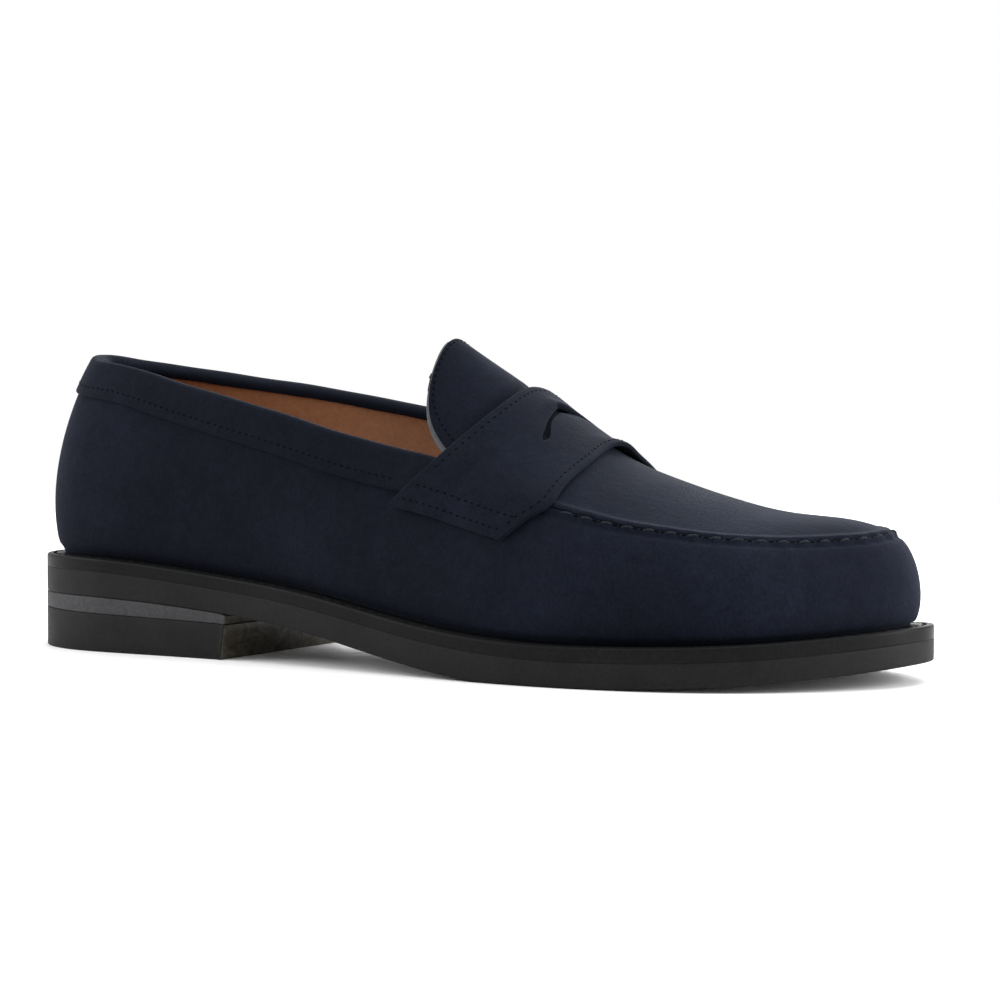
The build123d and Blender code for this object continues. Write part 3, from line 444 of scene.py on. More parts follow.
def capsule(centre, along, out, length, radius, sides=8):
    """Stitch: a short thread whose ends dive into the leather."""
    across = unit(np.cross(along, out))
    points, faces = [], []
    steps = np.linspace(-1.0, 1.0, 9)
    for k in steps:
        thick = radius * (1 - 0.35 * k**4)
        sink = out * (-radius * 1.5 * abs(k) ** 3)
        for a in np.arange(sides) * 2 * math.pi / sides:
            ring_point = across * math.cos(a) * thick + out * math.sin(a) * thick * 0.8
            points.append(centre + along * (k * length / 2) + sink + ring_point)
    for i in range(len(steps) - 1):
        for j in range(sides):
            a, b = i * sides + j, i * sides + (j + 1) % sides
            faces.append((a, b, b + sides, a + sides))
    faces.append(tuple(range(sides))[::-1])
    faces.append(tuple(range((len(steps) - 1) * sides, len(steps) * sides)))
    return points, faces


def stitches(name, spots, length, radius, body, material, slot):
    """One object of many stitches; a spot is (centre, along, out)."""
    points, faces = [], []
    for centre, along, out in spots:
        p, f = capsule(centre, unit(along), unit(out), length, radius)
        faces += [tuple(i + len(points) for i in face) for face in f]
        points += p
    return mesh_object(name, points, faces, body, material, slot)


def row_spots(path, normals, pitch, lift=0.0, slant=0.0):
    """Evenly spaced stitch places along a path on a surface."""
    walk = np.append(0.0, np.cumsum(np.linalg.norm(np.diff(path, axis=0), axis=1)))
    count = max(int(round(walk[-1] / pitch)), 1)
    spots = []
    for k in range(count):
        here = (k + 0.5) * walk[-1] / count
        centre = np.array([np.interp(here, walk, path[:, i]) for i in range(3)])
        ahead = np.array([np.interp(here + 0.5, walk, path[:, i]) for i in range(3)])
        behind = np.array([np.interp(here - 0.5, walk, path[:, i]) for i in range(3)])
        out = unit(np.array([np.interp(here, walk, normals[:, i]) for i in range(3)]))
        along = unit(ahead - behind)
        along = along * math.cos(slant) + np.cross(out, along) * math.sin(slant)
        spots.append((centre + out * lift, along, out))
    return spots


# ---------------------------------------------------------------- materials
def fill(tree, node, inputs):
    """Each input of a node gets a socket to link, or a plain value."""
    for key, value in inputs.items():
        if hasattr(value, "links"):
            tree.links.new(value, node.inputs[key])
        else:
            node.inputs[key].default_value = value


def add(tree, kind, inputs, **settings):
    node = tree.nodes.new("ShaderNode" + kind)
    for key, value in settings.items():
        setattr(node, key, value)
    fill(tree, node, inputs)
    return node


def nodes_of(name):
    material = bpy.data.materials.new(name)
    material.use_nodes = True
    return material, material.node_tree, material.node_tree.nodes["Principled BSDF"]


def object_place(tree):
    return add(tree, "TexCoord", {}).outputs["Object"]


def noise(tree, scale, detail=4.0, rough=0.55, distort=0.0, stretch=(1, 1, 1)):
    mapping = add(tree, "Mapping", {"Vector": object_place(tree), "Scale": stretch})
    return add(tree, "TexNoise", {"Vector": mapping.outputs["Vector"], "Scale": scale, "Detail": detail,
                                  "Roughness": rough, "Distortion": distort}).outputs["Fac"]


def ramp(tree, value, stops):
    node = add(tree, "ValToRGB", {"Fac": value})
    while len(node.color_ramp.elements) < len(stops):
        node.color_ramp.elements.new(0.5)
    for element, (place, color) in zip(node.color_ramp.elements, stops):
        element.position = place
        element.color = (*color, 1.0)
    return node.outputs["Color"]


def greys(tree, value, low, dark, high, light):
    """Ramp between two greys, to multiply a colour by."""
    return ramp(tree, value, [(low, (dark,) * 3), (high, (light,) * 3)])


def mix(tree, factor, one, two, mode="MIX"):
    return add(tree, "Mix", {0: factor, 6: one, 7: two}, data_type="RGBA", blend_type=mode).outputs[2]


def spread_value(tree, value, low, high):
    return add(tree, "MapRange", {"Value": value, "To Min": low, "To Max": high}).outputs["Result"]


def bump(tree, shader, heights):
    """Chain of bumps: (height socket, distance in metres, strength)."""
    last = {}
    for height, distance, strength in heights:
        node = add(tree, "Bump", {"Distance": distance, "Strength": strength, "Height": height, **last})
        last = {"Normal": node.outputs["Normal"]}
    fill(tree, shader, last)


def suede(name, dark, mid, light, sheen=0.034, nap=(1, 1, 1)):
    """Napped suede: brushed patches, fine mottling and short fibres."""
    material, tree, shader = nodes_of(name)
    patches = ramp(tree, noise(tree, 14, 4, 0.5, 0.8, nap), [(0.30, dark), (0.52, mid), (0.75, light)])
    mottle = greys(tree, noise(tree, 240, 6, 0.65, 0.3), 0.30, 0.80, 0.70, 1.15)
    fibres = greys(tree, noise(tree, 1500, 3, 0.6, 0.0, (1, 1, 0.6)), 0.35, 0.78, 0.68, 1.25)
    color = mix(tree, 1.0, mix(tree, 1.0, patches, mottle, "MULTIPLY"), fibres, "MULTIPLY")
    fill(tree, shader, {"Base Color": color, "Roughness": spread_value(tree, noise(tree, 90, 4), 0.82, 1.0),
                        "Specular IOR Level": 0.06, "Sheen Weight": sheen, "Sheen Roughness": 0.4,
                        "Sheen Tint": (0.56, 0.68, 0.95, 1.0)})
    bump(tree, shader, [(noise(tree, 60, 4), 0.0006, 0.35), (noise(tree, 420, 5), 0.00022, 0.6),
                        (noise(tree, 1900, 3), 0.00012, 0.7)])
    return material


def leather(name, dark, light, roughness=(0.38, 0.55), grain=900, depth=0.00008):
    """Smooth lining calf: cloudy colour, pores, fine creases."""
    material, tree, shader = nodes_of(name)
    cloud = ramp(tree, noise(tree, 18, 5, 0.6, 0.8), [(0.3, dark), (0.7, light)])
    speck = ramp(tree, noise(tree, 700, 4, 0.7), [(0.3, (0.82, 0.8, 0.78)), (0.62, (1.06, 1.06, 1.06))])
    fill(tree, shader, {"Base Color": mix(tree, 1.0, cloud, speck, "MULTIPLY"),
                        "Roughness": spread_value(tree, noise(tree, 120, 5), *roughness)})
    bump(tree, shader, [(noise(tree, 70, 5, 0.6, 1.0), 0.0003, 0.3), (noise(tree, grain, 4), depth, 0.6)])
    return material


def facing_front(tree):
    """1 on faces that look toward the toe: the smooth, polished heel breast."""
    normal = add(tree, "NewGeometry", {}).outputs["True Normal"]
    parts = add(tree, "SeparateXYZ", {"Vector": normal})
    return add(tree, "Math", {0: parts.outputs["X"], 1: 0.9}, operation="GREATER_THAN").outputs[0]


def rubber(name, dark, light, roughness=(0.45, 0.62), specular=0.15, lines=None, breast=False):
    """Moulded or buffed rubber: faint dust, buffing lines along the edge, tiny pits."""
    material, tree, shader = nodes_of(name)
    dust = ramp(tree, noise(tree, 35, 5, 0.6, 0.5), [(0.35, dark), (0.75, light)])
    speck = greys(tree, noise(tree, 1100, 3, 0.6), 0.35, 0.8, 0.68, 1.2)
    color = mix(tree, 1.0, dust, speck, "MULTIPLY")
    rough = spread_value(tree, noise(tree, 150, 4), *roughness)
    if breast:
        front = facing_front(tree)
        smears = [(0.32, (0.022, 0.020, 0.016)), (0.5, (0.050, 0.043, 0.032)), (0.72, (0.085, 0.080, 0.070))]
        color = mix(tree, front, color, ramp(tree, noise(tree, 90, 5, 0.6, 2.0, (1, 1, 2.4)), smears))
        rough = add(tree, "Mix", {0: front, 2: rough, 3: 0.22}).outputs[0]
    fill(tree, shader, {"Base Color": color, "Roughness": rough, "Specular IOR Level": specular})
    heights = [(noise(tree, 1300, 3), 0.00006, 0.6)]
    if lines:
        heights.append((noise(tree, 60, 4, 0.5, 0.0, lines), 0.0001, 0.5))
    bump(tree, shader, heights)
    return material


def thread(name, dark, light, rough=0.6):
    """Waxed thread: two-ply twist."""
    material, tree, shader = nodes_of(name)
    twist = noise(tree, 2600, 2, 0.5)
    fill(tree, shader, {"Base Color": ramp(tree, twist, [(0.35, dark), (0.65, light)]), "Roughness": rough,
                        "Specular IOR Level": 0.03})
    bump(tree, shader, [(twist, 0.0001, 0.8)])
    return material


def woven(name, dark, light, scale=1400):
    """Plain cotton weave from two crossed waves."""
    material, tree, shader = nodes_of(name)
    place = object_place(tree)
    waves = [add(tree, "TexWave", {"Scale": scale / 4, "Distortion": 0.6, "Vector": place},
                 bands_direction=direction).outputs["Color"] for direction in ("X", "Z")]
    cloth = mix(tree, 0.5, *waves)
    fill(tree, shader, {"Base Color": ramp(tree, cloth, [(0.3, dark), (0.7, light)]), "Roughness": 0.9})
    bump(tree, shader, [(cloth, 0.0002, 0.6)])
    return material


def cork_board(name):
    material, tree, shader = nodes_of(name)
    cell = add(tree, "TexVoronoi", {"Scale": 450, "Vector": object_place(tree)}).outputs["Distance"]
    color = ramp(tree, cell, [(0.1, (0.52, 0.33, 0.17)), (0.7, (0.22, 0.12, 0.05))])
    fill(tree, shader, {"Base Color": color, "Roughness": 0.9})
    bump(tree, shader, [(cell, 0.0004, 0.7)])
    return material


def steel_sheet(name):
    material, tree, shader = nodes_of(name)
    brushed = noise(tree, 300, 4, 0.6, 0.0, (1, 14, 14))
    color = ramp(tree, brushed, [(0.3, (0.4, 0.4, 0.42)), (0.7, (0.62, 0.62, 0.64))])
    rough = spread_value(tree, brushed, 0.28, 0.5)
    fill(tree, shader, {"Base Color": color, "Roughness": rough, "Metallic": 1.0})
    bump(tree, shader, [(brushed, 0.00005, 0.5)])
    return material


NAVY_DARK, NAVY, NAVY_LIGHT = (0.0030, 0.0038, 0.0072), (0.0043, 0.0056, 0.0106), (0.0062, 0.0080, 0.0148)
SUEDE = suede("navy_suede", NAVY_DARK, NAVY, NAVY_LIGHT)
COLLAR_SUEDE = suede("collar_suede", NAVY_DARK, (0.0040, 0.0050, 0.0094), (0.0054, 0.0068, 0.0124), 0.03)
TAN = leather("tan_lining", (0.20, 0.084, 0.038), (0.30, 0.132, 0.062))
SOCK = leather("sock_leather", (0.20, 0.09, 0.045), (0.30, 0.14, 0.07), (0.45, 0.65))
PALE = leather("pale_lining", (0.055, 0.057, 0.064), (0.095, 0.098, 0.108), (0.7, 0.9), 1400, 0.0001)
INSOLE = leather("insole_leather", (0.30, 0.18, 0.09), (0.46, 0.30, 0.16), (0.6, 0.8))
BOARD = woven("stiffener_board", (0.42, 0.35, 0.26), (0.62, 0.54, 0.42), 900)
CANVAS = woven("canvas_lining", (0.45, 0.38, 0.28), (0.68, 0.60, 0.48))
CORK = cork_board("cork")
STEEL = steel_sheet("steel")
WELT = rubber("welt_rubber", (0.0048, 0.0049, 0.0053), (0.0080, 0.0081, 0.0087), (0.34, 0.48), 0.05)
LAID = (1, 1, 12)            # buffing lines run level round an edge
BLACK = ((0.0056, 0.0056, 0.0060), (0.0095, 0.0095, 0.0101), (0.5, 0.66), 0.1, LAID)
SOLE = rubber("sole_rubber", *BLACK)
SPACER = rubber("grey_spacer", (0.034, 0.0335, 0.0355), (0.047, 0.0465, 0.0490), (0.55, 0.7), 0.1, LAID, True)
HEEL = rubber("heel_rubber", *BLACK, True)
NAVY_THREAD = thread("navy_thread", (0.0008, 0.0010, 0.0018), (0.0022, 0.0027, 0.0046), 0.9)
SEAM_THREAD = thread("seam_thread", (0.0070, 0.0080, 0.0110), (0.0200, 0.0225, 0.0290), 0.7)
WELT_THREAD = thread("welt_thread", (0.0030, 0.0030, 0.0034), (0.012, 0.012, 0.013), 0.8)

CARRIED = [(BOARD, ("heel_counter", "toe_puff", "side_stiffener_outer", "side_stiffener_inner")),
           (CANVAS, ("vamp_lining", "apron_lining", "insole_rib")), (INSOLE, ("insole",)),
           (CORK, ("cork_filler",)), (STEEL, ("shank", "heel_nails"))]
for material, node_names in CARRIED:
    for node_name in node_names:
        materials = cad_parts[node_name].data.materials
        materials.clear()
        materials.append(material)


# ---------------------------------------------------------------- upper
def outward_side(grid):
    away = grid - np.array([SOLE_LENGTH * 0.5, 0.0, 30.0])
    return away / np.linalg.norm(away, axis=-1, keepdims=True)


def front_share(x):
    """1 along the hand-sewn seam, 0 behind the strap."""
    return smoothstep(STRAP_FRONT - 14, STRAP_FRONT, x)


def seam_walk():
    """Length along the hand-sewn seam, by parameter, from the strap round the toe."""
    s_values = np.linspace(where_top(STRAP_FRONT + 1, -1), where_top(STRAP_FRONT + 1, 1), 1600)
    edge = top_edge(s_values)
    return s_values, np.append(0.0, np.cumsum(np.linalg.norm(np.diff(edge, axis=0), axis=1)))


def where_top(x, side):
    s = FINE[(FINE < toe_s)] if side < 0 else FINE[(FINE > toe_s)]
    return float(s[np.argmin(abs(top_edge(s)[:, 0] - x))])


SEAM_S, SEAM_WALK = seam_walk()
SEAM_COUNT = int(SEAM_WALK[-1] / STITCH_PITCH)
SEAM_STEP = SEAM_WALK[-1] / SEAM_COUNT


def pucker(s):
    """Gathering of the leather at each hand-sewn stitch: 1 at a hole, 0 between."""
    walk = np.interp(s, SEAM_S, SEAM_WALK)
    return 0.5 + 0.5 * np.cos(2 * math.pi * walk / SEAM_STEP)


def make_wall():
    s_values = np.linspace(0.0, 1.0, 721)
    t_values = np.concatenate([np.linspace(0.0, 0.86, 30), np.linspace(0.87, 1.0, 16)])
    grid, normals = (np.array(rows) for rows in zip(*(wall_row(s, t_values) for s in s_values)))
    share, gather = front_share(top_edge(s_values)[:, 0])[:, None], pucker(s_values)[:, None]
    # the seam's bead, drawn in at each stitch hole, and a shallow valley below it
    down = np.cumsum(np.linalg.norm(np.diff(grid, axis=1), axis=2)[:, ::-1], axis=1)[:, ::-1]
    down = np.concatenate([down, np.zeros((len(s_values), 1))], axis=1)
    bead = 0.45 * np.exp(-((down - 0.9) / 0.8) ** 2) - 0.30 * np.exp(-((down - 2.6) / 0.9) ** 2)
    bead -= 0.45 * gather * np.exp(-((down - 1.6) / 0.9) ** 2)
    grid = grid + normals * (share * bead)[..., None]
    # soft break-in waves behind the ball and along the quarters
    along = s_values[:, None] * 300
    wave = 0.16 * np.sin(along * 0.55 + 3 * t_values) * np.exp(-((t_values - 0.55) / 0.25) ** 2)
    waist = smoothstep(0.18, 0.24, s_values) * (1 - smoothstep(0.33, 0.38, s_values))
    grid = grid + normals * (wave * waist[:, None])[..., None]
    # the upper tucks in under itself where it meets the welt
    grid = grid - normals * (1.3 * (1 - smoothstep(0.0, 0.07, t_values)))[None, :, None]
    grid[:, 0, 2] = welt_top(grid[:, 0, 0]) - 0.08
    # back seam: the two edges roll in to a fine groove
    gap = np.minimum(s_values, 1 - s_values)[:, None] * 700
    grid = grid - normals * (0.55 * np.exp(-(gap / 0.45) ** 2))[..., None]
    points, faces = sheet(grid, WALL_THICKNESS, normals, (False, False), (False, True))
    piece("suede_wall", "upper_wall", points, faces, SUEDE, "navy_suede")


def make_apron():
    """Apron: rows from its rear edge to the toe, closing to a point on the seam."""
    rear, end = APRON_REAR_SIDE, float(top_edge(toe_s)[0, 0]) - SEAM_GAP
    xs = rear + (end - rear) * np.sin(np.linspace(0, math.pi / 2, 170))
    across = np.sin(np.linspace(-math.pi / 2, math.pi / 2, 91))
    grid = []
    for x in xs:
        bow = (APRON_REAR - rear) * (1 - across**2) * (1 - smoothstep(0.0, 24.0, x - rear))
        at = x + bow
        half = np.sqrt(np.maximum(half_gap_squared(at), 0.0)) - SEAM_GAP
        ys = middle_y(at) + np.maximum(half, 0.02) * across
        grid.append(np.stack([at, ys, dorsal(at, ys)], -1))
    grid = np.array(grid)
    normals = upward_normals(grid)
    normals[-1] = normals[-2]
    edge_s = np.linspace(where_top(rear, -1), where_top(rear, 1), 900)[::3]
    squared = ((grid.reshape(-1, 3)[:, None, :2] - top_edge(edge_s)[None, :, :2]) ** 2).sum(2)
    gap = np.sqrt(squared.min(1)).reshape(grid.shape[:2])
    share = front_share(grid[..., 0])
    gather = pucker(edge_s[squared.argmin(1)]).reshape(gap.shape)
    lip = 0.65 * np.exp(-((gap - 1.2) / 1.2) ** 2) - 0.20 * gather * np.exp(-((gap - 0.8) / 1.0) ** 2)
    roll = 0.9 - np.sqrt(np.maximum(0.81 - np.clip(0.9 - gap, 0, 0.9) ** 2, 0.0))
    grid = grid + normals * (share * lip - roll)[..., None]
    points, faces = close_pair(grid, grid - normals * 1.35)
    piece("suede_apron", "apron", points, faces, SUEDE, "navy_suede")


def seam_stitches():
    spots = []
    for k in range(SEAM_COUNT):
        s = float(np.interp((k + 0.5) * SEAM_STEP, SEAM_WALK, SEAM_S))
        along = unit(top_edge(s + 2e-3)[0] - top_edge(s - 2e-3)[0])
        out = unit(wall_normal(s, 0.97)[0])
        up = unit(np.cross(along, out))
        up = up if up[2] > 0 else -up
        centre = wall(s, 1.0)[0] - up * 0.75 + out * 0.55
        spots.append((centre, unit(along + up * 0.14), out))
    # Painted shade: a continuous cord of very dark navy thread, sunk under the stitches, stands in for the
    # shadow in the crease between the apron's lip and the wall.
    path = np.array([spot[0] for spot in spots])
    outs = np.array([spot[2] for spot in spots])
    painted_shade_cord = row_spots(path - outs * 0.35, outs, 2.0)
    stitches("apron_seam_painted_shade", painted_shade_cord, 2.3, 0.34, "shoe", NAVY_THREAD, "navy_thread")
    thing = stitches("apron_seam_stitches", spots, 3.5, 0.38, "shoe", SEAM_THREAD, "navy_thread")
    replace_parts(thing, "apron_thread")


# ---------------------------------------------------------------- linings
def make_lining(name, node, s_from, s_to, columns):
    s_values, t_values = np.linspace(s_from, s_to, columns), np.linspace(0.0, 0.985, 26)
    grid = []
    for s in s_values:
        face, out = wall_row(s, t_values)
        soft = 0.12 * np.sin(s * 420 + t_values * 5) * (1 - t_values)
        grid.append(face - out * (LAYERS + soft)[:, None])
    grid = np.array(grid)
    points, faces = sheet(grid, LINING_THICKNESS, -outward_side(grid))
    piece(name, node, points, faces, TAN, "tan_lining")


def navy_row(name, node, spots, length=1.7, radius=0.27, body="shoe"):
    """Machine-sewn row of navy stitches in place of a CAD thread."""
    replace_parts(stitches(name, spots, length, radius, body, NAVY_THREAD, "navy_thread"), node)


def lining_seam(name, s):
    """Stitched lining seam inside the heel."""
    face, out = wall_row(s, np.linspace(0.25, 0.85, 60))
    spots = row_spots(face - out * (LAYERS + 0.1), -out, STRAP_PITCH)
    stitches(name, spots, 2.0, 0.25, "shoe", TAN, "tan_lining")


# ---------------------------------------------------------------- collar
def collar_path_grid(rows, outside_steps, inside_steps):
    start, end = where_top(COLLAR_END, 1) - 1.0, where_top(COLLAR_END, -1)
    rim = LAYERS + PLY
    grid = []
    for s in np.linspace(start, end, rows):
        t = np.linspace(0.5, 1.0, 101)
        curve = wall(np.full(101, s), t)
        length = np.append(np.cumsum(np.linalg.norm(np.diff(curve, axis=0), axis=1)[::-1])[::-1], 0.0)
        normal, top = wall_normal(s, 1.0)[0], curve[-1]
        rise_direction = unit(np.array(curve[-1] - curve[-4]))
        places = np.interp(-np.linspace(COLLAR_DROP, 0.4, outside_steps), -length, t)
        face, out = wall_row(s, places)
        outside = face + out * COLLAR_AIR
        turn = np.linspace(0.15, math.pi - 0.15, 9)
        half = (rim + COLLAR_AIR) / 2
        over = [top + normal * (COLLAR_AIR - half + half * math.cos(a)) + rise_direction * math.sin(a)
                for a in turn]
        places = np.interp(-np.linspace(0.4, COLLAR_TURN, inside_steps), -length, t)
        face, out = wall_row(s, places)
        inner = face - out * rim
        grid.append(np.concatenate([outside, over, inner]))
    return np.array(grid)


def make_collar():
    path = collar_path_grid(420, 12, 7)
    normals = grid_normals(path)
    if (normals[:, 0] * (path[:, 0] - np.array([80.0, 0, 50.0]))).sum() < 0:
        normals = -normals
    shell = path + normals * COLLAR_THICKNESS
    shade = np.linspace(0, 40, 420)[:, None]
    shell = shell + normals * (0.07 * np.sin(shade * 2.1))[..., None]
    points, faces = sheet(shell, COLLAR_THICKNESS, normals)
    piece("collar_binding", "collar", points, faces, COLLAR_SUEDE, "collar_suede")
    mix_row = shell[:, 3] * 0.85 + shell[:, 4] * 0.15
    rows = (mix_row[:, 0] < STRAP_REAR - 26.0)
    spots = row_spots(mix_row[rows], normals[rows, 3], 2.55, ROW_SINK)
    navy_row("collar_stitches", "collar_thread", spots)


# ---------------------------------------------------------------- strap
STRAP_BOTTOM = 0.66
STRAP_SIDE_REAR = STRAP_REAR - 12.0
STRAP_SIDE_FRONT = STRAP_FRONT - 0.5
STRAP_FOOT_REAR = STRAP_REAR - 25.0
STRAP_FOOT_FRONT = STRAP_FRONT - 13.5
STRAP_RIDGE_FRONT = STRAP_FRONT - 3.0   # front edge on the ridge and on the inner side
STRAP_ROUND = 3.6            # how squarely the rear edge turns across the ridge
FRONT_BOW = 1.8              # forward bow of the front edge on the outer side


def strap_inner_grid(rows=9, columns=25):
    grid = []
    for a in np.linspace(0.0, 1.0, rows):
        ridge = STRAP_REAR + (STRAP_RIDGE_FRONT - STRAP_REAR) * a
        foot = STRAP_FOOT_REAR + (STRAP_FOOT_FRONT - STRAP_FOOT_REAR) * a
        halves = []
        for sign, front, bow in ((-1, STRAP_SIDE_FRONT, FRONT_BOW), (1, STRAP_RIDGE_FRONT, 0.0)):
            side = STRAP_SIDE_REAR + (front - STRAP_SIDE_REAR) * a
            fold = FOLD_RISE * (1 - smoothstep(COLLAR_END + 1, COLLAR_END + 9, side))
            s_foot, s_side = where_top(foot, sign), where_top(side, sign)
            points = []
            for b in (0.0, 0.35, 0.7, 0.93):
                s, t = s_foot + (s_side - s_foot) * b, STRAP_BOTTOM + (1 - STRAP_BOTTOM) * b
                over = 1 - smoothstep(COLLAR_END + 1, COLLAR_END + 9, top_edge(s)[0, 0])
                lift = STRAP_AIR + (COLLAR_THICKNESS + COLLAR_AIR) * over * (1.0 + 0.6 * b * b)
                points.append(wall(s, t)[0] + wall_normal(s, t)[0] * lift)
            side_y = float(top_edge(s_side)[0, 1] - middle_y(side))
            for b in (0.12, 0.4, 0.7):
                x = side + (ridge - side) * (1 - (1 - b) ** STRAP_ROUND) + bow * a * math.sin(math.pi * b)
                y = float(middle_y(x)) + side_y * (1 - b)
                lift = STRAP_AIR + 0.25 + fold * (1 - b) ** 1.5
                slope_x = float(dorsal(x + 0.5, y) - dorsal(x - 0.5, y))
                slope_y = float(dorsal(x, y + 0.5) - dorsal(x, y - 0.5))
                up = unit(np.array([-slope_x, -slope_y, 1.0]))
                points.append(np.array([x, y, float(dorsal(x, y))]) + up * lift)
            halves.append(points)
        ridge_y = float(middle_y(ridge))
        top = np.array([ridge, ridge_y, float(dorsal(ridge, ridge_y)) + STRAP_AIR + 0.2])
        path = np.array(halves[0] + [top] + halves[1][::-1])
        walk = np.append(0.0, np.cumsum(np.linalg.norm(np.diff(path, axis=0), axis=1)))
        smooth = [line(walk, path[:, axis]) for axis in range(3)]
        even = np.linspace(0.0, walk[-1], columns)
        grid.append(np.stack([curve(even) for curve in smooth], -1))
    return np.array(grid)


SLOT_RIDGE = STRAP_REAR + 9.4
SLOT_HALF = 20.2             # half length of the penny slot
slot_rear = line([0.0, 5.6, 10.4, 15.3, 18.5, SLOT_HALF], [0.0, 1.2, 2.5, 4.1, 5.2, 6.4])
slot_front = line([0.0, 5.0, 10.0, 15.3, 18.0, SLOT_HALF], [2.0, 2.9, 4.0, 6.3, 7.3, 6.8])


def slot_prism():
    """Penny slot: a narrow bowed slit with a rounded lobe at each end, as a tall cutter."""
    mid = float(middle_y(SLOT_RIDGE))
    ys = SLOT_HALF * np.sin(np.linspace(-math.pi / 2, math.pi / 2, 81))
    back = [(SLOT_RIDGE + float(slot_rear(abs(y))), mid + y) for y in ys]
    fore = [(SLOT_RIDGE + max(float(slot_front(abs(y))), float(slot_rear(abs(y))) + 0.15), mid + y)
            for y in ys[::-1]]
    plan = back + fore
    count = len(plan)
    points = [(x, y, 55.0) for x, y in plan] + [(x, y, 95.0) for x, y in plan]
    faces = [(i, (i + 1) % count, count + (i + 1) % count, count + i) for i in range(count)]
    for low in (0, count):
        for i in range(80):
            quad = (low + i, low + i + 1, low + count - 2 - i, low + count - 1 - i)
            faces.append(quad if low else quad[::-1])
    return points, faces


def make_strap():
    inner = strap_inner_grid(81, 221)
    normals = upward_normals(inner)
    outer = inner + normals * STRAP_THICKNESS
    # the front edge gapes a little over the apron past the ridge
    a, off = np.linspace(0, 1, 81)[:, None], outer[..., 1] - middle_y(outer[..., 0])
    gape = 2.0 * smoothstep(0.70, 1.0, a) * np.exp(-((off - 8.0) / 9.0) ** 2)
    outer = outer + normals * gape[..., None]
    points, faces = sheet(outer, STRAP_THICKNESS, normals)
    thing = mesh_object("saddle_strap", points, faces, "shoe", SUEDE, "navy_suede")
    cutter_points, cutter_faces = slot_prism()
    cutter = mesh_object("slot_cutter", cutter_points, cutter_faces, "shoe", SUEDE)
    cut = thing.modifiers.new("slot", "BOOLEAN")
    cut.operation, cut.object, cut.solver = "DIFFERENCE", cutter, "EXACT"
    bpy.context.view_layer.update()
    result = bpy.data.meshes.new_from_object(thing.evaluated_get(bpy.context.evaluated_depsgraph_get()))
    thing.modifiers.clear()
    thing.data = result
    bpy.data.objects.remove(cutter)
    raise_slot_lip(result)
    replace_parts(thing, "strap")
    strap_stitches(outer, normals)


def raise_slot_lip(mesh):
    """The slot's rear edge stands a little proud near the ridge, and the tab in front of it lies lower."""
    points = np.array([vertex.co[:] for vertex in mesh.vertices]) * 1000.0 + np.array([*CENTRE, 0.0])
    off = points[:, 1] - middle_y(points[:, 0])
    behind = SLOT_RIDGE + slot_rear(np.minimum(np.abs(off), 20.0)) - points[:, 0]
    near = np.exp(-((off - 1.0) / 8.0) ** 2) * (np.abs(off) < 20.0)
    rise = 1.1 * np.exp(-(np.maximum(behind, 0.0) / 3.0) ** 2) * (behind > -0.4) * near
    rise -= 0.5 * np.exp(-((behind + 2.0) / 1.6) ** 2) * (behind < -0.9) * near
    for vertex, z in zip(mesh.vertices, rise):
        vertex.co.z += z / 1000.0
        vertex.co.x += z / 2000.0
    mesh.update()


def on_strap(outer, normals, a, b):
    """Point and normal of the strap at width share a and cross share b, both 0 to 1."""
    i, j = np.clip(a, 0, 1) * (outer.shape[0] - 1), np.clip(b, 0, 1) * (outer.shape[1] - 1)
    i0, j0 = np.minimum(i.astype(int), outer.shape[0] - 2), np.minimum(j.astype(int), outer.shape[1] - 2)
    fi, fj = (i - i0)[:, None], (j - j0)[:, None]
    blend = lambda g: ((g[i0, j0] * (1 - fi) + g[i0 + 1, j0] * fi) * (1 - fj)
                       + (g[i0, j0 + 1] * (1 - fi) + g[i0 + 1, j0 + 1] * fi) * fj)
    return blend(outer), blend(normals)


def strap_stitches(outer, normals):
    spots = []
    for a, b_values in ((0.075, np.linspace(0.13, 0.87, 200)), (0.925, np.linspace(0.045, 0.955, 200))):
        path, out = on_strap(outer, normals, np.full(200, a), b_values)
        spots += row_spots(path, out, STRAP_PITCH, ROW_SINK)
    for b in (0.028, 0.075, 1 - 0.028, 1 - 0.075):
        path, out = on_strap(outer, normals, np.linspace(0.06, 0.925, 60), np.full(60, b))
        spots += row_spots(path, out, STRAP_PITCH, ROW_SINK)
    navy_row("strap_stitches", "strap_thread", spots, length=1.75)


# ---------------------------------------------------------------- tongue
HINGE = np.array([STRAP_REAR - 0.6, 0.0, float(dorsal(STRAP_REAR - 0.6, 0.0)) - 1.0])


def tongue_grid(extra, depth):
    """Rows across the tongue, from its tip forward to the sewn root."""
    tip = TONGUE_TIP * SOLE_LENGTH - extra
    aheads = [row[0] for row in TONGUE_EDGE_SHAPE]
    halves = [row[1] for row in TONGUE_EDGE_SHAPE]
    root = STRAP_REAR + 13.0 - tip
    share = np.concatenate([[0.0], np.linspace(0.02, 1.0, 90) ** 2])
    distances = np.unique(np.concatenate([share * 20.0, np.linspace(20.0, root, 40)]))
    across = np.sin(np.linspace(-math.pi / 2, math.pi / 2, 71))
    grid = []
    walk = np.append(0.0, np.cumsum(np.hypot(np.diff(aheads), np.diff(halves))))
    ahead_curve, half_curve = line(walk, aheads), line(walk, halves)
    fine = np.linspace(0, walk[-1], 400)
    fine_ahead, fine_half = np.maximum.accumulate(ahead_curve(fine)), half_curve(fine)
    for d in distances:
        half = float(np.interp(d, fine_ahead, fine_half)) + extra
        at = tip + d + 0.35 * across**2 * (1 - smoothstep(0.0, 8.0, d))
        mid = float(middle_y(tip + 10))
        ys = mid + half * across
        grid.append(np.stack([at, ys, tongue_height(at, ys)], -1))
    grid = np.array(grid)
    normals = upward_normals(grid)
    return grid - normals * depth, normals


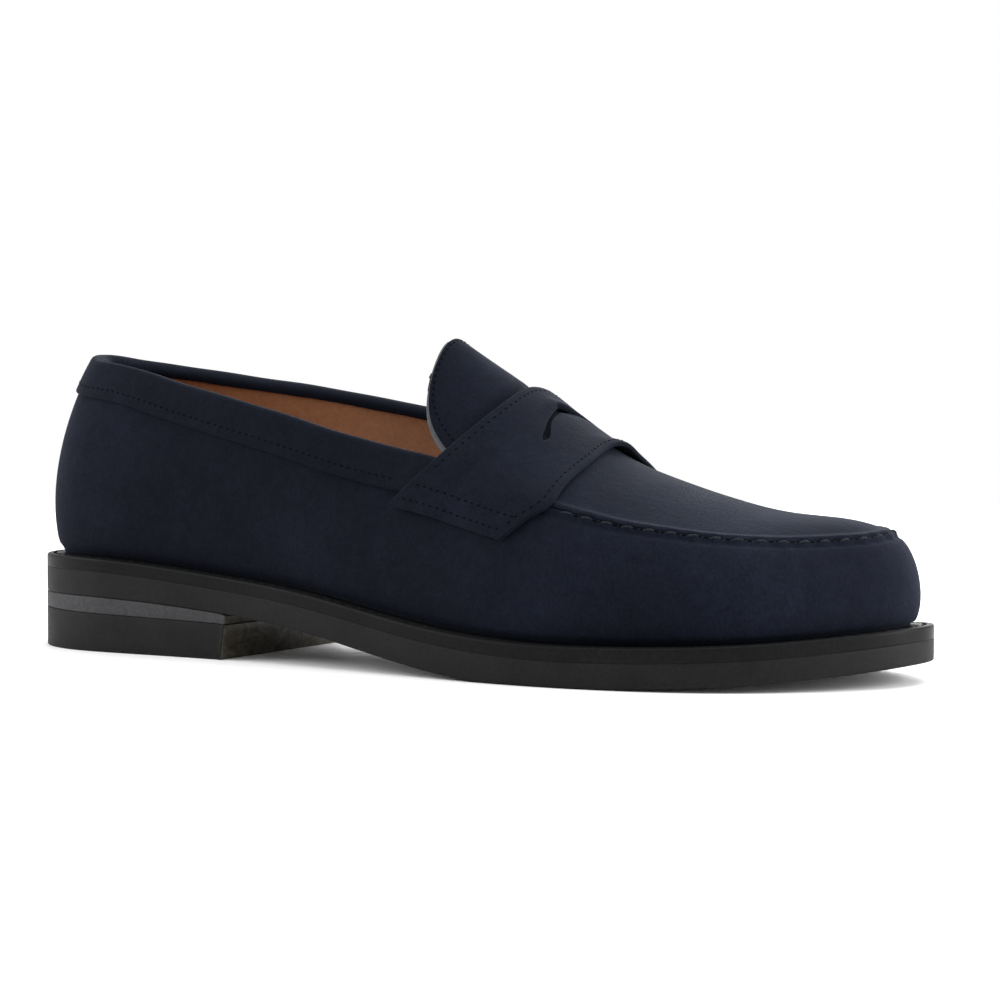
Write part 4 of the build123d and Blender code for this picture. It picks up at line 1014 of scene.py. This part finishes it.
def make_tongue():
    lean = math.atan2(HINGE[2] - 61.0, 14.0)
    behind = np.array([-math.sin(lean), 0.0, math.cos(lean)])
    start, end = put(HINGE - behind * 2.5)[0], put(HINGE + behind * 2.5)[0]
    for name, extra, depth, thickness, material, slot, nodes in (
            ("tongue_suede", 0.0, 0.0, TONGUE_THICKNESS, SUEDE, "navy_suede", ("tongue", "tongue_root")),
            ("tongue_backing", TONGUE_EDGE, TONGUE_THICKNESS + 0.05, TONGUE_LINING, PALE, "pale_lining",
             ("tongue_lining", "tongue_lining_root"))):
        grid, normals = tongue_grid(extra, depth)
        points, faces = sheet(grid, thickness, normals)
        thing = mesh_object(name, points, faces, None, material, slot)
        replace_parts(thing, *nodes)
        tuple(start)
        tuple(end)
        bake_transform(thing)
    spots = tongue_spots()
    navy_row("tongue_stitches", "tongue_thread", spots, body="tongue_flap")


def tongue_spots():
    """Stitch row inside the tongue's free edge."""
    tip, mid = TONGUE_TIP * SOLE_LENGTH, float(middle_y(TONGUE_TIP * SOLE_LENGTH + 10))
    aheads = [1.1, 1.1, 1.25, 1.6, 2.4, 4.4, 7.6, 12.0, 20.0]
    halves = [0.0, 6.0, 11.0, 14.5, 17.0, 19.4, 21.3, 23.2, 25.4]
    walk = np.append(0.0, np.cumsum(np.hypot(np.diff(aheads), np.diff(halves))))
    fine = np.linspace(0, walk[-1] * 0.97, 160)
    ahead, half = line(walk, aheads)(fine), line(walk, halves)(fine)
    xs = np.concatenate([tip + ahead[::-1], tip + ahead])
    ys = np.concatenate([mid - half[::-1], mid + half])
    slope_x = (tongue_height(xs + 0.4, ys) - tongue_height(xs - 0.4, ys)) / 0.8
    slope_y = (tongue_height(xs, ys + 0.4) - tongue_height(xs, ys - 0.4)) / 0.8
    path = np.stack([xs, ys, tongue_height(xs, ys)], -1)
    out = unit(np.stack([-slope_x, -slope_y, np.ones(len(xs))], -1))
    return row_spots(path, out, 2.3, -0.03)


# ---------------------------------------------------------------- bottom unit
HEEL_TOP = SEAT_HEIGHT - 12.3    # underside of the outsole over the heel
tread_rear = line([-15.0, *(f * SOLE_LENGTH for f in (0.0, 0.133, 0.267, 0.4, 0.533, TREAD_START))],
                  [HEEL_TOP, HEEL_TOP, SEAT_HEIGHT - 12.8, SEAT_HEIGHT - 15.2, 10.4, 3.4, 0.0])
tread_front = line([f * SOLE_LENGTH for f in (TREAD_END, 0.817, 0.9, 1.0)], [0.0, 0.9, 2.5, TOE_SPRING])


def tread(x):
    x = np.asarray(x, float)
    front = np.where(x > TREAD_END * SOLE_LENGTH, tread_front(x), 0.0)
    return np.maximum(np.where(x < TREAD_START * SOLE_LENGTH, tread_rear(x), front), 0.0)


def ring_piece(name, node, levels, material, slot, cap, count=720):
    """Swept round the sole outline: a level is (inset, height as a function of x). Closed across by caps."""
    s_values = np.linspace(0.0, 1.0, count + 1)[:-1]
    rings = []
    for inset, height in levels:
        plan = inset_outline(inset, s_values)
        rings.append(np.c_[plan, height(plan[:, 0])])
    points = np.concatenate(rings)
    faces = []
    for k in range(len(levels) - 1):
        for i in range(count):
            a, b = k * count + i, k * count + (i + 1) % count
            faces.append((a, b, b + count, a + count))
    last = (len(levels) - 1) * count
    if cap:
        for base, turn in ((0, True), (last, False)):
            for i in range(count // 2):
                a, b = i, (i + 1)
                c, d = (count - i - 1) % count, (count - i) % count
                quad = list(dict.fromkeys([base + a, base + b, base + c, base + d]))
                if len(quad) >= 3:
                    faces.append(tuple(quad[::-1] if turn else quad))
    else:
        for i in range(count):
            a, b = last + i, last + (i + 1) % count
            faces.append((a, b, (i + 1) % count, i))
    piece(name, node, points, faces, material, slot)


def corner(height, radius, inset, sign, count=4):
    """Levels of a rounded corner, from the top face down (sign -1) or down to the bottom face (sign 1)."""
    return [(inset + radius * (1 - math.sin(a)), lambda x, a=a: height(x) + sign * radius * (1 - math.cos(a)))
            for a in np.linspace(0, math.pi / 2, count)[::-sign]]


def soft_edge(top, bottom, radius, inset=0.0, low_radius=None):
    """Levels of an outer edge from its top corner to its bottom corner, both rounded."""
    low = low_radius or radius
    middle = [(inset, lambda x, f=f: (top(x) - radius) * (1 - f) + (bottom(x) + low) * f)
              for f in np.linspace(0.12, 0.88, 6)]
    return corner(top, radius, inset, -1) + middle + corner(bottom, low, inset, 1)


def make_welt():
    top, low = welt_top, lambda x: welt_top(x) - WELT_THICKNESS + 0.02
    groove = [(WELT_WIDTH, top), (4.4, top), (3.3, lambda x: top(x) + 0.05), (2.9, lambda x: top(x) - 0.25),
              (2.4, lambda x: top(x) - 0.45), (1.9, lambda x: top(x) - 0.25), (1.5, lambda x: top(x) - 0.02)]
    edge = soft_edge(top, low, 0.8, 0.0, 0.1)
    levels = groove + edge + [(WELT_WIDTH, low)]
    ring_piece("welt_strip", "welt", levels, WELT, "welt_rubber", False)
    s_values = np.linspace(0.0, 1.0, 1400)
    plan = inset_outline(2.4, s_values)
    path = np.c_[plan, welt_top(plan[:, 0]) - 0.12]
    spots = row_spots(path, np.tile([0.0, 0.0, 1.0], (1400, 1)), 4.4)
    thing = stitches("welt_stitches", spots, 3.3, 0.42, "shoe", WELT_THREAD, "welt_thread")
    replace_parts(thing, "welt_thread")


def make_outsole():
    top = lambda x: welt_top(x) - WELT_THICKNESS - 0.02
    levels = soft_edge(top, tread, 0.1, 0.0, 0.55)
    levels = [(9.0, top)] + levels + [(6.0, tread), (14.0, tread)]
    ring_piece("rubber_outsole", "outsole", levels, SOLE, "sole_rubber", True)


HEEL_CORNER = 0.4


def heel_plan(inset):
    """Plan points of the heel: round the outline from one breast corner to the other."""
    s_values = np.linspace(0.0, 1.0, 2001)[:-1]
    plan = inset_outline(inset, s_values)
    outer = s_values[(s_values < 0.5) & (plan[:, 0] < HEEL_LENGTH)].max()
    inner = s_values[(s_values > 0.5) & (plan[:, 0] < HEEL_LENGTH)].min()
    around = np.linspace(inner - 1.0, outer, 241)
    plan = inset_outline(inset, around)
    closing = np.linspace(0, 1, 61)[1:-1, None]
    return plan, plan[-1] * (1 - closing) + plan[0] * closing


def heel_piece(name, node, top, bottom, material, slot):
    """Heel layer with rounded corners and a raked breast."""
    middle = [(0.0, lambda x, f=f: top(x) * (1 - f) + bottom(x) * f) for f in (0.35, 0.65)]
    levels = corner(top, HEEL_CORNER, 0.0, -1) + middle + corner(bottom, HEEL_CORNER, 0.0, 1)
    rings = []
    for inset, height in levels:
        plan, closing = heel_plan(inset)
        loop = np.concatenate([plan, closing])
        z = height(loop[:, 0])
        rake = BREAST_RAKE * (1 - z / SEAT_HEIGHT)
        face = smoothstep(HEEL_LENGTH - 6, HEEL_LENGTH, loop[:, 0])
        loop[:, 0] -= (rake + inset) * face
        rings.append(np.c_[loop, z])
    count = len(rings[0])
    points = np.concatenate(rings)
    faces = [(k + i, k + (i + 1) % count, k + count + (i + 1) % count, k + count + i)
             for k in range(0, (len(rings) - 1) * count, count) for i in range(count)]
    centre_low, centre_high = len(points), len(points) + 1
    middle = rings[0][:, :2].mean(0)
    points = np.concatenate([points, [[*middle, float(top(middle[0]))], [*middle, float(bottom(middle[0]))]]])
    last = (len(rings) - 1) * count
    faces += [(centre_low, (i + 1) % count, i) for i in range(count)]
    faces += [(centre_high, last + i, last + (i + 1) % count) for i in range(count)]
    piece(name, node, points, faces, material, slot)


def make_heel():
    lift = lambda x: HEEL_LIFT - (HEEL_LIFT - HEEL_LIFT_BREAST) * np.asarray(x, float) / HEEL_LENGTH
    flat = lambda x: np.zeros_like(np.asarray(x, float))
    under_sole, over_block = lambda x: tread(x) - 0.02, lambda x: lift(x) + 0.02
    heel_piece("grey_heel_layer", "heel_spacer", under_sole, over_block, SPACER, "grey_spacer")
    heel_piece("black_heel_block", "heel_block", lambda x: lift(x) - 0.02, flat, HEEL, "heel_rubber")


def make_sock():
    """Sock liner: a padded tan leather footbed, slightly dished."""
    top = lambda x: welt_top(x) + 4.1
    low = lambda x: welt_top(x) + 2.9
    start = LAYERS + 6.9
    dish = [(22.0, lambda x: top(x) - 0.35), (16.0, lambda x: top(x) - 0.2)]
    levels = dish + soft_edge(top, low, 0.4, start) + [(18.0, low)]
    ring_piece("sock_footbed", "sock_liner", levels, SOCK, "tan_lining", True)


def back_seam():
    face, out = wall_row(0.0, np.linspace(0.03, 0.78, 90))
    spots = row_spots(face - out * 0.25, out, 2.4)
    navy_row("back_seam_stitches", "back_seam_thread", spots, radius=0.25)


make_wall()
make_apron()
seam_stitches()
GRIP = 0.058
SEAM = SEAM_GAP / 700.0
JOINT_OUTER, JOINT_INNER = where_top(0.535 * SOLE_LENGTH, -1), where_top(0.535 * SOLE_LENGTH, 1)
make_lining("heel_grip", "heel_grip_lining", -GRIP, GRIP, 60)
make_lining("quarter_lining_lateral", "quarter_lining_outer", GRIP + 2 * SEAM, JOINT_OUTER, 110)
make_lining("quarter_lining_medial", "quarter_lining_inner", JOINT_INNER, 1 - GRIP - 2 * SEAM, 110)
for seam_name, seam_s in (("lining_seam_lateral", GRIP + 0.004), ("lining_seam_medial", -GRIP - 0.004)):
    lining_seam(seam_name, seam_s)
make_collar()
make_strap()
make_tongue()
make_welt()
make_outsole()
make_heel()
make_sock()
back_seam()


# ---------------------------------------------------------------- stage, light and camera
def make_stage():
    bpy.ops.mesh.primitive_plane_add(size=2.6)
    floor = bpy.context.object
    floor.name = "floor"
    material, tree, shader = nodes_of("pale_floor")
    fill(tree, shader, {"Base Color": (0.93, 0.93, 0.93, 1), "Roughness": 0.55})
    floor.data.materials.append(material)
    floor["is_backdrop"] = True


def area_light(name, place, target, size, power):
    lamp = bpy.data.lights.new(name, "AREA")
    lamp.shape, lamp.size, lamp.size_y, lamp.energy = "RECTANGLE", *size, power
    thing = bpy.data.objects.new(name, lamp)
    bpy.context.scene.collection.objects.link(thing)
    thing.location = place
    direction = Vector(target) - Vector(place)
    thing.rotation_euler = direction.to_track_quat("-Z", "Y").to_euler()


def make_camera():
    """Low three-quarter view from the outer side of the toe."""
    azimuth, elevation = math.radians(29.3), math.radians(2.05)
    distance, focal_ratio = 0.720, 2.365
    target = put([[166.5, 0.0, 49.5]])[0]
    back = np.array([math.sin(azimuth) * math.cos(elevation), -math.cos(azimuth) * math.cos(elevation),
                     math.sin(elevation)])
    data = bpy.data.cameras.new("camera")
    data.sensor_width = 36.0
    data.lens = data.sensor_width * focal_ratio
    camera = bpy.data.objects.new("camera", data)
    bpy.context.scene.collection.objects.link(camera)
    camera.location = Vector(target + back * distance)
    camera.rotation_euler = Vector(-back).to_track_quat("-Z", "Y").to_euler()
    bpy.context.scene.camera = camera


make_stage()
area_light("top_softbox", (0.10, 0.10, 0.9), (0.02, 0, 0.03), (1.0, 0.8), 6.5)
area_light("left_softbox", (-0.9, -0.5, 0.5), (0, 0, 0.04), (0.6, 0.6), 6)
area_light("right_softbox", (1.1, 0.35, 0.35), (0.05, 0, 0.04), (0.6, 0.8), 17)
area_light("back_light", (-0.1, 1.1, 0.6), (0, 0, 0.04), (1.2, 0.6), 10)
world = bpy.data.worlds.new("studio")
bpy.context.scene.world = world
world.use_nodes = True
world.node_tree.nodes["Background"].inputs["Color"].default_value = (1.0, 1.0, 1.0, 1)
world.node_tree.nodes["Background"].inputs["Strength"].default_value = 1.0
bpy.context.scene.view_settings.view_transform = "Standard"
make_camera()


def corners(box):
    return [list(map(float, corner)) for corner in box]


VISUAL_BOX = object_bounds()
{"cad": corners(CAD_BOX), "visual": corners(VISUAL_BOX)}
